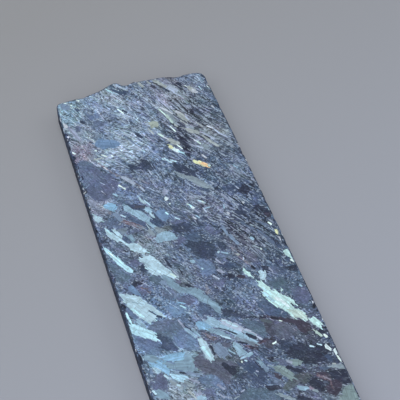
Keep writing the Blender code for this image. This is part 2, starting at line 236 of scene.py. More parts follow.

# Larger crystals, from the lowest to the highest: colour, then the outline's corners. A pale crystal's
# colour holds painted flash
CRYSTALS = (
    ("steel", (-23.3, 66.8), (-22, 67), (-20.6, 65.6), (-20.8, 64.8), (-22.3, 64.6), (-23.4, 65.4)),
    ("haze", (-23.4, 57.2), (-22.2, 57), (-21.3, 54.4), (-20.4, 51.4), (-21.4, 51.2), (-22.4, 53.6)),
    ("olive", (0.8, 51.9), (2.8, 51.8), (3.8, 50.5), (3.2, 49.4), (1, 49.2)),
    ("sage", (6.3, 55.6), (7.7, 54.9), (9, 52.6), (8.9, 50.4), (8.2, 49.2), (7.2, 50.2), (6.6, 52.8)),
    ("sand", (10, 53.4), (11.2, 53.1), (12.4, 51.2), (13.1, 49), (12.2, 48.4), (11.2, 49.8),
     (10.4, 51.8)),
    ("azure", (-15.5, 50.5), (-13.5, 49.6), (-11, 48.2), (-9.8, 47), (-10.3, 46), (-12, 46),
     (-13.5, 46.6), (-15, 46.2), (-16.4, 47.8), (-17.4, 48.2), (-17, 49.6)),
    ("lilac", (-15.7, 43.6), (-14, 43.9), (-13.3, 43.2), (-13.6, 42.6), (-15.6, 42.6)),
    ("sand", (4.2, 44), (5.2, 44.2), (6.2, 43), (7.6, 41.8), (7.5, 41.2), (6.6, 41), (5.2, 42),
     (4.5, 43.2)),
    ("sand", (10.5, 46.2), (11.4, 46), (13, 44.8), (14.7, 43.4), (14.2, 42.7), (12.6, 43.6),
     (11.2, 44.8)),
    ("sage", (13.4, 38.4), (15.2, 38.3), (15.6, 37.3), (14.6, 36.6), (13.6, 37.2)),
    ("sage", (2.6, 31.4), (3.4, 31), (4.8, 29.9), (7, 28.4), (8.8, 26.8), (10, 25), (11, 23.6),
     (11.5, 23.1), (10.8, 22.9), (9.4, 23.4), (8.2, 24.2), (7.2, 25.6), (5.6, 27.6), (3.6, 29.8)),
    ("sky", (-21, 27.1), (-20.2, 27.2), (-18.6, 26.9), (-17.7, 26.2), (-17.5, 24.8), (-18.3, 24.2),
     (-19.3, 24.4), (-20.3, 25.4), (-21, 25.8)),
    ("pool", (-15.7, 24.9), (-15, 24.9), (-13.5, 23), (-11.8, 22), (-10.6, 20.6), (-9.8, 19),
     (-9.4, 18.3), (-10, 17.5), (-9.4, 16.2), (-8.5, 14.8), (-9.4, 14.9), (-10.2, 16.2), (-11.5, 18),
     (-13, 20), (-14.5, 22), (-15.8, 23)),
    ("sage", (-9.5, 15.2), (-8.4, 15), (-6.8, 13.6), (-6.6, 12.8), (-8.8, 12.8)),
    ("ice", (-10.8, 27.5), (-9.8, 25.5), (-8.7, 23.6), (-9.9, 23.7), (-10.4, 25)),
    ("pool", (-10.3, 21.8), (-9.4, 22.4), (-8.5, 22), (-7.9, 20.4), (-8.8, 20), (-9.7, 20.6)),
    ("azure", (-7.6, 19.8), (-6.5, 20.3), (-4.8, 20), (-4, 18.5), (-4.2, 16.8), (-5.5, 15.8),
     (-6.3, 16.4), (-7, 18)),
    ("frost", (-3.5, 23.8), (-2.8, 24), (-2.1, 23.3), (-2.6, 22.7), (-3.3, 22.7)),
    ("ice", (-25.2, 23.7), (-24.5, 24.2), (-23.3, 23.6), (-22.6, 22.9), (-23, 22), (-24.2, 21.6),
     (-24.8, 22.6)),
    ("dusk", (-22.6, 18.8), (-20.9, 19), (-20.4, 18), (-21.2, 17.2), (-22, 17.8)),
    ("ice", (-23.2, 19.1), (-22.6, 18.6), (-21.9, 17.7), (-21.1, 16.9), (-20.2, 15.5), (-19.6, 14.4),
     (-20.3, 13.8), (-21.4, 14.5), (-22.4, 16), (-22.9, 17.3)),
    ("ice", (-21, 17.9), (-20.5, 18.2), (-19.6, 16.8), (-18.8, 15.2), (-19.4, 14.6), (-20.2, 15.8)),
    ("teal", (-17.5, 14.8), (-16.3, 15), (-15.7, 12.6), (-16.6, 12.4)),
    ("grey", (-19.6, 17.8), (-17, 17.6), (-17, 16.2), (-18.6, 15.6)),
    ("ice", (-18.4, 12), (-17.4, 12.1), (-16, 11.6), (-15, 10.4), (-14.1, 8.9), (-13.6, 7.8),
     (-14.6, 7.9), (-15.8, 8.3), (-16.5, 9), (-17.3, 9), (-17.7, 10), (-18.3, 11)),
    ("aqua", (-25.2, 12.9), (-24.9, 13.1), (-24.4, 12.3), (-22.9, 10), (-21.2, 6.8), (-19.2, 3.5),
     (-19.6, 2.8), (-20.4, 2.8), (-21.4, 4.2), (-22.6, 6.6), (-24, 9.6), (-25.2, 12)),
    ("pool", (-10.2, 11.4), (-9, 12.6), (-7, 12.7), (-5.2, 12), (-4.6, 11.2), (-4.3, 10.3), (-5, 9.3),
     (-6, 9.4), (-7.5, 9.8), (-9.4, 9.8), (-10, 10.5)),
    ("ice", (-17, 6.7), (-16.4, 6.4), (-15.5, 6.5), (-14.8, 7), (-13.5, 6.6), (-12.5, 5.6), (-11.8, 4.7),
     (-11, 2.8), (-10.2, 1), (-9.2, -0.5), (-8.6, -1.6), (-8.1, -2.5), (-9.3, -2.7), (-10, -2), (-11, -1),
     (-12, -0.6), (-13.2, -0.2), (-14.7, 0.5), (-15.2, 1.8), (-15.3, 3.8), (-15.8, 4.9), (-16.6, 5.2)),
    ("teal", (-12.3, -0.5), (-11, -1), (-9.8, -2.8), (-9, -4.8), (-7.8, -6), (-5.6, -7), (-4, -8),
     (-3.2, -8.6), (-2.9, -10), (-2, -11.6), (-0.8, -13.3), (0.1, -15.2), (-0.4, -17), (-1.6, -16.2),
     (-2.3, -14), (-2.9, -12.9), (-4.6, -11.8), (-5.1, -10.5), (-5.6, -9.2), (-7.5, -8), (-9.4, -7),
     (-10.4, -5.8), (-11, -4.4), (-12, -2.8)),
    ("steel", (-13.1, -2.3), (-11.5, -2.2), (-11.6, -3.9), (-13, -3.6)),
    ("azure", (-22.3, -1.2), (-21.2, -0.8), (-20.2, -2.4), (-19.9, -4.5), (-21, -4.2), (-21.9, -3)),
    ("ice", (-25.2, -2.1), (-24.5, -2.6), (-23.4, -3.4), (-22, -3.8), (-21, -4.6), (-19.9, -5.4),
     (-19.7, -7), (-19.2, -8.4), (-18.4, -9.5), (-18.2, -11), (-17.5, -11.8), (-18.2, -12.9),
     (-19.6, -13.4), (-20.8, -12.6), (-22, -11.2), (-23, -9.6), (-23.9, -7.4), (-24.6, -5.4),
     (-24.9, -3.6)),
    ("ice", (-19.5, -6.3), (-18.6, -8), (-17, -10.2), (-15.6, -12.2), (-15, -13.3), (-15.8, -13.2),
     (-17, -12), (-18.3, -10.2), (-19.2, -8)),
    ("pool", (-22.9, -10.8), (-22.2, -11.8), (-21.4, -13.6), (-21.2, -15), (-22.6, -13.4), (-23.4, -12)),
    ("aqua", (-25.3, -12.2), (-24, -12.4), (-22.8, -13.6), (-21.2, -15.3), (-20, -16.2), (-19.5, -17.2),
     (-19.6, -19), (-19.8, -19.6), (-21.2, -18.3), (-22.8, -16.9), (-24.8, -15.8), (-25.5, -15),
     (-25.6, -13.6)),
    ("ice", (-8.9, -22.3), (-8.2, -22.3), (-7.4, -23.8), (-7, -25.5), (-6.7, -27.5), (-6.6, -28.6),
     (-7.4, -29.5), (-8.2, -29.2), (-8.9, -28), (-8.9, -26), (-9, -24.2)),
    ("sky", (-8, -17.5), (-6.9, -17.3), (-6, -18), (-5, -19.2), (-4.4, -20.6), (-4.9, -21), (-5.8, -20.6),
     (-7.6, -19.8), (-8, -18.6)),
    ("pool", (-5.5, -18), (-4.4, -17.4), (-3.2, -17.6), (-2.3, -18.4), (-1.4, -20), (0, -21.2),
     (1.5, -22.8), (3, -24.4), (4.4, -26.4), (5.4, -27.6), (6.6, -28.4), (5.6, -28.6), (4, -27.6),
     (2, -25.8), (-0.4, -23), (-2.6, -21), (-4.2, -20.2)),
    ("lilac", (-1.6, -18.8), (0.2, -19.6), (1.5, -20.6), (3, -22.2), (4.6, -23.8), (6.7, -26),
     (6.6, -26.6), (5.6, -26.2), (3.6, -24.6), (1.4, -22.8), (-0.6, -20.8)),
    ("teal", (-5.6, -20.8), (-4, -20.6), (-2.4, -22), (-0.4, -24), (-0.6, -25), (-2.4, -23.8),
     (-4.4, -22)),
    ("grey", (1, -24.8), (2.8, -26.4), (5.4, -28.3), (5.2, -28.9), (3, -27.8), (1, -25.8)),
    ("steel", (-5.6, -25.3), (-4.3, -25), (-3.2, -26.5), (-2.4, -28), (-2.6, -29), (-4, -29.7),
     (-5.2, -29), (-5.8, -27.2)),
    ("pool", (-0.9, -27.2), (-0.2, -26.2), (1.2, -27.4), (1.5, -29), (2.1, -30), (2, -30.6),
     (-0.3, -30.8), (0, -29.2)),
    ("pool", (-0.3, -31.4), (2, -30.6), (3.2, -30.4), (3.8, -30.9), (3.2, -31.4), (1.2, -31.6)),
    ("teal", (-24.8, -22.4), (-23.4, -22.2), (-21.5, -23.6), (-20, -25), (-21.4, -25.4), (-23, -24.6)),
    ("sky", (-23.8, -24.4), (-22, -25.4), (-20.3, -25.2), (-19.6, -26.8), (-19.2, -28.6), (-19.8, -29.8),
     (-20.8, -28.6), (-22.2, -27), (-23.4, -25.6)),
    ("ice", (-23.4, -26.2), (-22.3, -26.8), (-21.4, -28.2), (-22.2, -28.5), (-23, -27.4)),
    ("teal", (-19.6, -25.8), (-17.6, -26.8), (-15.4, -26.8), (-13.6, -25.2), (-12.2, -25.8),
     (-12.6, -27.4), (-12.4, -29.6), (-13.4, -31), (-15, -30.4), (-16.8, -29.6), (-18.6, -28.2),
     (-19.4, -26.8)),
    ("sky", (-19.8, -24.8), (-18.6, -24), (-16, -24.3), (-14.4, -24.4), (-14, -25.6), (-15.6, -26.6),
     (-17.4, -26.4), (-19, -25.6)),
    ("foam", (-19.3, -29.6), (-18.3, -29.8), (-17.4, -30.6), (-16, -31.2), (-15.5, -31.8), (-16.4, -32.4),
     (-16.9, -33.1), (-17.8, -32.2), (-18.6, -31.2), (-19.4, -30.6)),
    ("dew", (12.5, -12.3), (13, -11.5), (14, -12), (14.8, -13.2), (15.5, -14.8), (16.1, -15.4),
     (16.4, -14.9), (17, -16.4), (18.2, -17.6), (19.4, -18.6), (20.3, -19.8), (20.4, -20.6),
     (19.9, -21.3), (19.2, -20.6), (19, -21), (19.4, -22.2), (20.4, -22.8), (21.3, -23.8), (21.6, -24.6),
     (21.5, -25.4), (21.8, -26.8), (21.2, -26.9), (20.7, -26), (20.3, -26), (19.8, -25.2), (18.2, -24.6),
     (17.6, -23.2), (16.4, -21.6), (15.2, -20.3), (14.2, -19), (13.6, -17.6), (13.3, -16.8),
     (13.9, -16.4), (12.9, -16.2), (12.5, -15.5), (12.9, -14.8), (13.3, -14.2), (13, -13.2)),
    ("mint", (18, -22.4), (19.6, -22.4), (21.2, -23.8), (21.5, -25.2), (20.4, -25.8), (18.4, -24.6)),
    ("dew", (18.3, -14.7), (18.7, -15.9), (17.8, -16.3)),
    ("dew", (22.2, -26.6), (23.4, -26.1), (24.2, -27), (24.8, -28.4), (24.4, -29.8), (24.1, -30.3),
     (23.4, -29.6), (22.9, -28.4), (22.4, -27.6)),
    ("ice", (14.1, -8), (14.9, -7.9), (15.6, -8.6), (16, -9.4), (15.8, -10.2), (15, -11), (14.3, -11.2),
     (14, -10.4), (14.4, -9.4)),
    ("dew", (10.6, -5.6), (10.1, -6.4), (10.2, -7.4), (11, -8.6), (11.8, -9.2), (11.8, -8.2),
     (11.4, -7.2), (10.8, -6.4)),
    ("lemon", (23.5, 3.2), (23.8, 3.6), (24.3, 3.2), (24.4, 2), (24, 1.2), (23.6, 1.8)),
    ("dew", (23.2, -4.3), (23.9, -4), (24.6, -3.8), (25.2, -4.6), (25.5, -6), (25.4, -7), (24.9, -7.2),
     (24, -6.4), (23.4, -5.4)),
    ("fern", (7.3, -36.4), (8.6, -36.5), (10, -37), (10.8, -38.4), (11.6, -40), (11.6, -41.2),
     (10.6, -41.5), (9.6, -40.4), (8.7, -39), (7.6, -37.6)),
    ("fern", (11.8, -36), (13, -36.2), (15, -36.9), (15.6, -37.6), (14.8, -38.2), (13.4, -38.1),
     (12.6, -37.4)),
    ("teal", (3.6, -33.2), (5, -33.8), (5.5, -35.2), (5.9, -37), (5, -37.2), (4.8, -35.6)),
    ("frost", (22.8, -35.2), (23.4, -34.8), (24.2, -36.7), (23.8, -37.1), (23.3, -36.6)),
    ("frost", (24.6, -37.1), (25.6, -36.7), (25.8, -38), (25.3, -38.7), (24.8, -38.9)),
    ("pool", (11.3, -43.9), (12.4, -44), (14.1, -44.7), (14.2, -45.2), (13, -45.6), (11.7, -44.9)),
    ("haze", (-15, -36.8), (-13.6, -36.8), (-13.2, -38), (-12.4, -39.4), (-14, -40.4), (-15, -38.4)),
    ("pool", (-15, -37.8), (-13.4, -37.6), (-12.4, -39.2), (-13.2, -39.8), (-15, -38.8)),
    ("teal", (-24.6, -33), (-23, -33.2), (-21.8, -34.4), (-21.6, -36), (-23.4, -35.4), (-24.8, -34.2)),
    ("haze", (-3.6, 25.4), (-2.2, 27.2), (-1.4, 26), (-2, 24.9)),
    ("fern", (20.6, -51), (22, -49.6), (22.6, -48.4), (23.6, -47.7), (25.2, -47.8), (26.2, -48.2),
     (26.4, -53), (24.6, -54.6), (21.6, -53.4)),
)

# Blades, from the lowest to the highest: colour, the two ends, width. A pale blade's colour holds painted
# flash
BLADES = (
    ("aqua", -8.1, 68.6, -6.4, 66.6, 0.4), ("pool", -6.4, 66.6, -5, 65.3, 0.35),
    ("lilac", -9.2, 65.7, -8.2, 64.3, 0.4), ("frost", -22, 67.5, -21.3, 66.8, 0.55),
    ("frost", -18.1, 67.5, -17.2, 66.5, 0.5), ("frost", -20.3, 65.9, -19.9, 65.4, 0.4),
    ("dusk", -19.3, 64.2, -18.4, 62.7, 0.9), ("frost", -6.9, 60, -5.4, 57.4, 0.42),
    ("night", -5.6, 59, -4.2, 57.4, 0.7), ("ice", -5, 59.5, -4.6, 58.6, 0.3),
    ("haze", -4, 57.3, -3.5, 55.6, 0.4), ("lilac", -13.3, 62, -12.5, 59.5, 0.5),
    ("haze", -12.6, 59.5, -11.9, 56.6, 0.5), ("night", -19, 59, -18.1, 57.5, 0.8),
    ("pearl", -24.6, 59.8, -23.6, 57.5, 1), ("sand", 7.2, 67.4, 9.1, 65.4, 0.9),
    ("moss", 7.5, 66.1, 9.5, 63.3, 0.6), ("navy", 9.4, 63.5, 10.9, 61.2, 0.6),
    ("sand", 8.8, 65.8, 11, 62.8, 1), ("lilac", 10.6, 63.4, 13.4, 60.4, 1.5),
    ("sage", 12.2, 60.8, 15.3, 57.1, 0.8), ("lilac", 11.8, 60.9, 14, 58.2, 0.35),
    ("sand", 2.4, 68, 3.6, 65.4, 0.7), ("sand", 5.3, 67.6, 6.4, 65.9, 0.45),
    ("umber", 5.7, 65.5, 7.1, 64.1, 0.9), ("haze", 6.5, 60.4, 8.8, 55.3, 0.42),
    ("haze", 5.9, 60.1, 6.6, 57.6, 0.35), ("mint", 5.4, 55.9, 6.8, 52.8, 0.5),
    ("pearl", 6.5, 56.1, 9.1, 52.5, 0.5), ("mint", 6.7, 53, 8.1, 49.2, 0.8),
    ("pearl", 10.2, 53.5, 11.3, 52.2, 0.8), ("lilac", 12.4, 50.6, 13.2, 48.6, 0.5),
    ("frost", 16.2, 62.3, 17.2, 61, 0.35), ("sand", 17, 61.6, 18.4, 59.2, 1.1),
    ("pearl", 17.8, 60, 19.2, 58.1, 0.9), ("ink", 14, 64.1, 15.5, 62.6, 0.9),
    ("fern", 14.4, 56.9, 15.4, 54.8, 0.35), ("haze", 13.4, 54.6, 15.6, 53.4, 0.8),
    ("pearl", 21.7, 52, 22.3, 50.8, 0.4), ("ice", 20.4, 60.7, 20.9, 58.9, 0.35),
    ("lilac", 21.2, 65.1, 21.7, 62.4, 0.35), ("frost", 23, 60, 23.7, 58.6, 0.45),
    ("navy", 22.8, 66, 23.6, 62, 0.6), ("frost", -24.9, 48.4, -23.8, 47.2, 0.8),
    ("steel", -24.8, 47.2, -24.4, 45.2, 0.4), ("frost", -18, 46.8, -17.4, 46.3, 0.35),
    ("frost", -16.7, 44.7, -15, 43.3, 0.4), ("frost", -13.8, 43.4, -13.2, 42.9, 0.5),
    ("sand", -19.5, 43.5, -16, 43.3, 0.45), ("lilac", -18.8, 41.6, -17.8, 40.4, 0.5),
    ("pearl", -17.2, 40.1, -16.3, 38.5, 0.4), ("steel", -24.8, 34, -22.8, 35.6, 0.28),
    ("lilac", -13.1, 35.2, -9.9, 31, 0.95), ("frost", -14.9, 32.6, -13.1, 30.2, 0.5),
    ("pool", -17.4, 30, -16, 28.8, 0.6), ("lilac", -9, 30, -8, 27.8, 0.45),
    ("lilac", -4.7, 34.7, -4.2, 32.7, 0.5), ("haze", -24.8, 30.4, -23.2, 27.6, 1.3),
    ("night", -4.4, 49, -2.5, 46.6, 0.9), ("steel", -8, 49, -5.6, 45, 0.35),
    ("ice", -4.6, 42.7, -3.5, 41.5, 0.4), ("lilac", -5.5, 44.6, -4.4, 42.4, 0.4),
    ("slate", -6.4, 47, -5.2, 44.4, 0.35), ("mint", 2.2, 46.9, 3.7, 44.9, 0.55),
    ("pearl", 3.4, 45.2, 4.8, 43.4, 0.5), ("lemon", 3.9, 41.3, 5.6, 39.2, 0.9),
    ("frost", 4.8, 40.1, 6.6, 38.1, 1), ("aqua", 6, 38.7, 7.6, 37.1, 0.7),
    ("frost", 6.4, 41.1, 7.7, 38.8, 0.42), ("teal", 7.3, 37.2, 7.9, 35.7, 0.3),
    ("frost", 6.6, 48.5, 7.9, 45.5, 0.42), ("haze", 7, 44.3, 7.8, 42.7, 0.35),
    ("sand", 0, 49.7, 1.1, 46.8, 0.45), ("sand", 8.1, 48.6, 9.1, 47.2, 0.5),
    ("pearl", 11.9, 41.2, 12.8, 40.2, 0.4), ("mint", 12.6, 40.4, 13.6, 38.8, 0.55),
    ("lilac", 12, 38.5, 13.9, 37.2, 0.55), ("haze", 10.2, 40.1, 12.2, 38.2, 0.4),
    ("sand", 15, 42.1, 16.7, 39.1, 0.7), ("sand", 16.2, 40, 18.3, 36.3, 0.65),
    ("lilac", 15.2, 43.1, 18.5, 39.1, 0.5), ("sage", 11.4, 47.5, 13.6, 44.9, 0.5),
    ("sage", 13, 45.8, 16.4, 43.1, 0.45), ("sand", 14.7, 47.6, 16.4, 44.8, 0.4),
    ("sand", 10.3, 49.7, 12.2, 46.9, 0.45), ("pearl", 17.4, 45, 19.4, 43.1, 0.5),
    ("lilac", 19, 43.7, 20.6, 40.6, 0.45), ("lilac", 20.5, 40.8, 22.4, 38.5, 0.5),
    ("moss", 13.6, 45.6, 15, 44.1, 0.8), ("ink", 15.6, 41.8, 17, 40, 0.45),
    ("lemon", 9.1, 34, 10.8, 31.9, 0.8), ("lemon", 10.2, 33.1, 12.2, 30.8, 1.15),
    ("gold", 11.2, 32.3, 13.2, 30.4, 1.1), ("mint", 12.8, 31, 13.6, 30.2, 0.7),
    ("haze", 8.7, 34.8, 9.2, 34.2, 0.5), ("pearl", 12.4, 35.1, 13.5, 33.3, 0.5),
    ("navy", 10.9, 34.2, 12, 33, 0.8), ("ice", 1.1, 37.5, 1.9, 36.3, 0.5),
    ("ice", 1.7, 36.6, 3, 35, 0.6), ("ice", 2.6, 36.4, 4.3, 34.9, 0.45),
    ("aqua", 0.4, 37.6, 0.9, 36.8, 0.4), ("lilac", 23.2, 39.6, 23.7, 39, 0.4),
    ("umber", -12.6, 23.6, -9.6, 22.6, 0.9), ("ice", -9.1, 20.2, -8.1, 18, 0.5),
    ("aqua", -4.6, 19, -3.9, 17.9, 0.55), ("ice", -2.6, 16.4, -1.2, 15.2, 0.42),
    ("ice", -17.2, 22.2, -16, 21, 0.5), ("sage", -11, 14.9, -10.2, 12.3, 0.9),
    ("steel", -19, 23.6, -17.4, 20, 1.1), ("night", 11.8, 21.8, 13.2, 22.7, 0.5),
    ("frost", -2.6, 21.5, -2.2, 21.2, 0.4), ("grey", -14, 17.4, -12.2, 15.4, 0.4),
    ("aqua", -22.7, 18.8, -21.6, 16.6, 0.35), ("ice", -20.2, 14.9, -18.2, 11.8, 0.6),
    ("ice", -21.7, 17.5, -20.2, 14.9, 0.3), ("frost", -24.4, 11.6, -22, 7.4, 0.3),
    ("aqua", -23.4, 10.2, -20.6, 4.6, 0.35), ("haze", -25, 21.6, -24.8, 20.4, 0.4),
    ("mint", 2.3, 19.8, 3, 19.1, 0.5), ("aqua", 2.8, 19.4, 3.9, 17.4, 0.55),
    ("haze", 3.6, 17.6, 4.8, 15.5, 0.4), ("frost", 3.3, 18.3, 3.9, 17.5, 0.7),
    ("haze", 2.5, 15.9, 3.4, 15.1, 0.5), ("pool", 3.4, 15.3, 4.4, 13.8, 0.4),
    ("pearl", 2.6, 15, 3.3, 13.8, 0.4), ("ice", 5.7, 19.9, 7.8, 18.2, 0.5),
    ("frost", 6.8, 19.2, 7.3, 18.7, 0.5), ("lilac", 6.3, 17.1, 7, 15, 0.4),
    ("pool", 6.6, 16.6, 8.4, 16.5, 0.4), ("pool", 12.6, 16.2, 12.2, 14.6, 0.4),
    ("pearl", 12.6, 13.4, 13, 12.4, 0.6), ("lilac", 11.9, 12.1, 12.4, 11.1, 0.35),
    ("haze", 13.2, 20.1, 14.9, 16.2, 0.45), ("lilac", 10.7, 21.1, 11.5, 21.3, 0.4),
    ("lilac", 18.2, 21, 18.9, 19.8, 0.4), ("navy", 15.9, 20.6, 17.8, 20.5, 0.8),
    ("pearl", 18, 14.9, 18.8, 14.9, 0.6), ("haze", 16.3, 14.9, 16.9, 14.5, 0.5),
    ("haze", 23.6, 22.3, 24.3, 21.2, 0.6), ("grey", 24.6, 17.5, 24.8, 15.4, 0.4),
    ("pool", 24.6, 11.3, 24.8, 9.9, 0.3), ("frost", 24.7, 10.4, 24.9, 9.6, 0.3),
    ("pool", 20.1, 28.7, 21.2, 26.9, 0.4), ("haze", 19.2, 28.6, 19.7, 26.8, 0.55),
    ("haze", 21.9, 26.6, 22, 24.8, 0.4), ("haze", 22.2, 24.7, 22.9, 23.2, 0.35),
    ("night", 14.6, 12.6, 18, 11.2, 1.1), ("moss", 1.2, 15.6, 2, 14, 0.7),
    ("lilac", -6.6, 7.8, -6.3, 6.8, 0.35), ("ice", -13.4, 5.4, -11.2, 3, 0.5),
    ("ice", -14.8, 6.6, -13.4, 4.2, 0.4), ("mint", -9.8, -0.9, -8.4, -2.4, 0.5),
    ("ice", -14, 3.2, -11.4, 1, 0.4), ("ice", -23.6, -4, -21, -5.4, 0.4),
    ("aqua", -23.4, -7.6, -20.8, -11.6, 0.5), ("teal", -22.8, -5.9, -19.6, -7.7, 0.2),
    ("aqua", -25.1, -8.4, -24.8, -12.2, 0.6), ("blue", -24.4, -7.6, -23, -11.4, 0.9),
    ("dusk", -25.6, -6.1, -25, -7.6, 0.9), ("slate", -23, -2.8, -21.9, -3.6, 0.8),
    ("night", -17.6, -12.1, -16, -13.1, 0.7), ("dusk", -19.1, -9.8, -17.5, -11.9, 0.35),
    ("aqua", -10.4, -11.1, -8.9, -12.6, 0.4), ("slate", -13.6, -7.6, -11, -9.6, 0.35),
    ("sky", -11, -9.8, -8.6, -11.2, 0.35), ("ink", -6.9, 0.2, -6.4, -2.6, 0.35),
    ("pool", -2.9, 1.4, -2, 0.2, 0.8), ("ice", -0.9, -2, -0.4, -2.4, 0.4),
    ("lilac", 1.4, -5.2, 2.9, -7, 0.45), ("ice", 5.3, 1.6, 5.9, 1.2, 0.7),
    ("pool", 6.2, 1.3, 8.1, 0, 0.5), ("pool", 15.8, 3.2, 16.9, 2, 0.9),
    ("frost", 17.3, -1.4, 17.9, -1.6, 0.5), ("pearl", 23.9, 0.8, 24.1, -0.8, 0.35),
    ("frost", 22.7, 6.4, 23.6, 5, 0.5), ("frost", 24.2, -7.3, 25.5, -8.8, 0.5),
    ("slate", 18.6, 5.2, 20.6, 1.8, 0.6), ("slate", 20.2, 2.4, 22, -1.6, 0.8),
    ("sage", 15.7, 0.5, 17.3, -1.2, 0.4), ("grey", 19.4, 0.2, 20.7, -1.8, 0.45),
    ("slate", 15, 8.8, 18.6, 5, 0.5), ("sage", 17.5, 7.2, 18.6, 6.1, 0.4),
    ("slate", 19.3, 8.2, 22.2, 5.1, 0.5), ("sand", 10.2, -0.8, 11, -1.4, 0.9),
    ("lilac", 12.1, -2, 11.4, -3.4, 0.4), ("umber", 11.9, -2.1, 12.3, -3.2, 0.5),
    ("steel", 9.5, 9.2, 10.3, 5.8, 0.9), ("steel", 10.2, 6.2, 12.1, 1.8, 0.8),
    ("wine", 7.8, -7.5, 10, -8.4, 0.9), ("haze", 3.4, -3.8, 4.6, -5.4, 1),
    ("haze", 3.9, -0.3, 5.2, -2.4, 0.5), ("haze", 17.5, -7.8, 18.1, -9.8, 0.38),
    ("ink", 12.9, -5.7, 13.6, -7.2, 0.6), ("haze", 15.9, 6.1, 16.6, 4.9, 0.6),
    ("steel", 4, -10, 4.5, -11, 0.4), ("steel", 17.8, -5.4, 18.6, -6.8, 0.5),
    ("pool", 23.5, -15.7, 24.1, -16.6, 0.6), ("night", -9.8, 4.4, -8.6, 0.6, 0.5),
    ("night", -7, -5.4, -5.4, -6.6, 0.6), ("aqua", 13.2, -13, 15, -16.4, 0.5),
    ("frost", 15.6, -17, 18.4, -21.4, 0.7), ("aqua", 12.9, -14.6, 14.9, -18.4, 0.9),
    ("mint", 19.8, -23.4, 21.6, -26.6, 0.4),
    ("night", 19, -20.3, 19.6, -21.4, 0.35), ("haze", -12.3, -14.9, -11.3, -18.2, 0.5),
    ("pool", -11.5, -18, -9.1, -22, 0.6), ("navy", -11.3, -17.2, -9.1, -20.2, 0.35),
    ("teal", -9.7, -18.8, -8, -22.2, 0.5), ("night", -6.5, -25, -6.2, -28.3, 0.5),
    ("aqua", -8.6, -24.6, -7.6, -28.4, 0.6), ("night", -2.8, -20.9, -0.4, -22.6, 0.35),
    ("night", -0.6, -22.5, 1.8, -24.6, 0.4), ("ink", 3.9, -24.9, 6.5, -27.4, 0.9),
    ("teal", 3.4, -23.9, 6.4, -26.4, 0.45), ("ice", 0, -20, 2.6, -22.4, 0.7),
    ("ice", -1, -19, 0.4, -19.8, 0.5), ("lilac", 6.4, -26.6, 7.6, -28.2, 0.6),
    ("ice", -3, -23.2, -0.4, -25.2, 0.5), ("night", 0.6, -26.4, 3.4, -28, 0.5),
    ("brown", -3.1, -25.7, -1.4, -27, 1), ("pool", -2.3, -27.9, -0.8, -29.9, 0.35),
    ("frost", -0.2, -32.2, 0.1, -32.6, 0.4), ("ice", 0.7, -32.2, 1.5, -32.7, 0.35),
    ("pool", -22.8, -26.3, -21.6, -28.4, 0.7), ("ice", -21.1, -29.1, -20.1, -30.6, 0.6),
    ("night", -17, -29.7, -14.2, -31.4, 0.45), ("steel", -15.4, -30.2, -12, -32.6, 0.9),
    ("sage", -20.2, -31.2, -17.4, -34.6, 0.9), ("ice", -18.8, -32.9, -17.8, -33.7, 0.6),
    ("sage", -16.8, -33, -14.4, -35, 0.9), ("grey", -17.2, -33, -16.2, -34.4, 0.9),
    ("haze", -15.2, -32.3, -12.7, -34.6, 0.5), ("sand", -16.5, -35.4, -14.9, -38.6, 0.35),
    ("ice", -25.3, -32.4, -24.6, -33.8, 0.6), ("teal", -24.2, -32.6, -21.8, -36, 1.2),
    ("ink", -5.3, -31, -3.6, -33.4, 1.3), ("haze", -8.5, -36.2, -7.2, -38.4, 0.8),
    ("haze", -9.1, -38.8, -7.8, -40.7, 0.45), ("haze", -3.4, -40.4, -2, -40, 0.4),
    ("sage", -5.7, -41.6, -3.9, -41.2, 0.35), ("night", 3.2, -33.2, 4.4, -36.6, 0.3),
    ("wine", 12, -22.6, 16.2, -24.8, 0.9), ("wine", 15.6, -24.6, 20.6, -27.4, 1.2),
    ("ink", 12, -22.5, 14.2, -23.7, 0.45), ("moss", 9, -22.2, 12.2, -24.2, 0.9),
    ("frost", 13.9, -24.2, 14.8, -24.8, 0.32), ("frost", 9.6, -30.2, 11.1, -29.9, 0.55),
    ("blue", -19.2, -25.6, -17.2, -27.2, 0.3), ("blue", -18.6, -28.4, -15.6, -30, 0.3),
    ("mint", 22.2, -30.3, 23.5, -32.6, 0.7), ("frost", 24, -31.9, 24.6, -33.3, 0.6),
    ("ink", 23, -30.5, 24.7, -31.8, 0.8), ("ice", 18.9, -33.9, 20.2, -34.7, 0.5),
    ("ice", 21.1, -34, 22.4, -34.9, 0.45), ("frost", 24.9, -38.8, 25.5, -41, 0.5),
    ("sage", 22.2, -41.2, 26, -42.7, 1.1), ("sand", 22.8, -40.7, 23.8, -41.1, 0.4),
    ("ink", 10.6, -37.5, 14.4, -40.3, 1.1), ("lilac", 11.4, -35.9, 12.8, -37, 0.7),
    ("steel", 5, -35, 5.6, -37.4, 0.7), ("rose", 14.2, -45, 15.4, -46, 0.8),
    ("sage", 14.8, -45.9, 16.2, -46.8, 0.7), ("sage", 6, -44.3, 9.6, -47.2, 0.9),
    ("grey", 2, -36.2, 2.6, -37.8, 0.3), ("haze", 2.6, -36, 3.2, -36.6, 0.35),
    ("steel", 4, -40.8, 5.6, -41.2, 0.4), ("grey", 17.6, -39.2, 18.8, -40.2, 0.4),
    ("ink", -24.6, 55.2, -24.4, 52.8, 0.9), ("ink", -24.9, 46.4, -24.5, 45.4, 0.7),
    ("ink", -24.7, 43.8, -24.5, 41.6, 0.7), ("ink", -24.6, 38.9, -24.3, 37.4, 0.9),
    ("ink", -24.7, 34.3, -24.4, 33, 0.9), ("ink", -25.1, 15.6, -24.6, 14.7, 0.8),
    ("ink", -25.4, 3.1, -24.9, 1.8, 0.7), ("ink", -26.1, -22, -25.9, -25, 0.7),
    ("ink", 23.3, 62.4, 23.5, 60.4, 0.7), ("ink", 23.5, 51.3, 23.8, 50.4, 0.6),
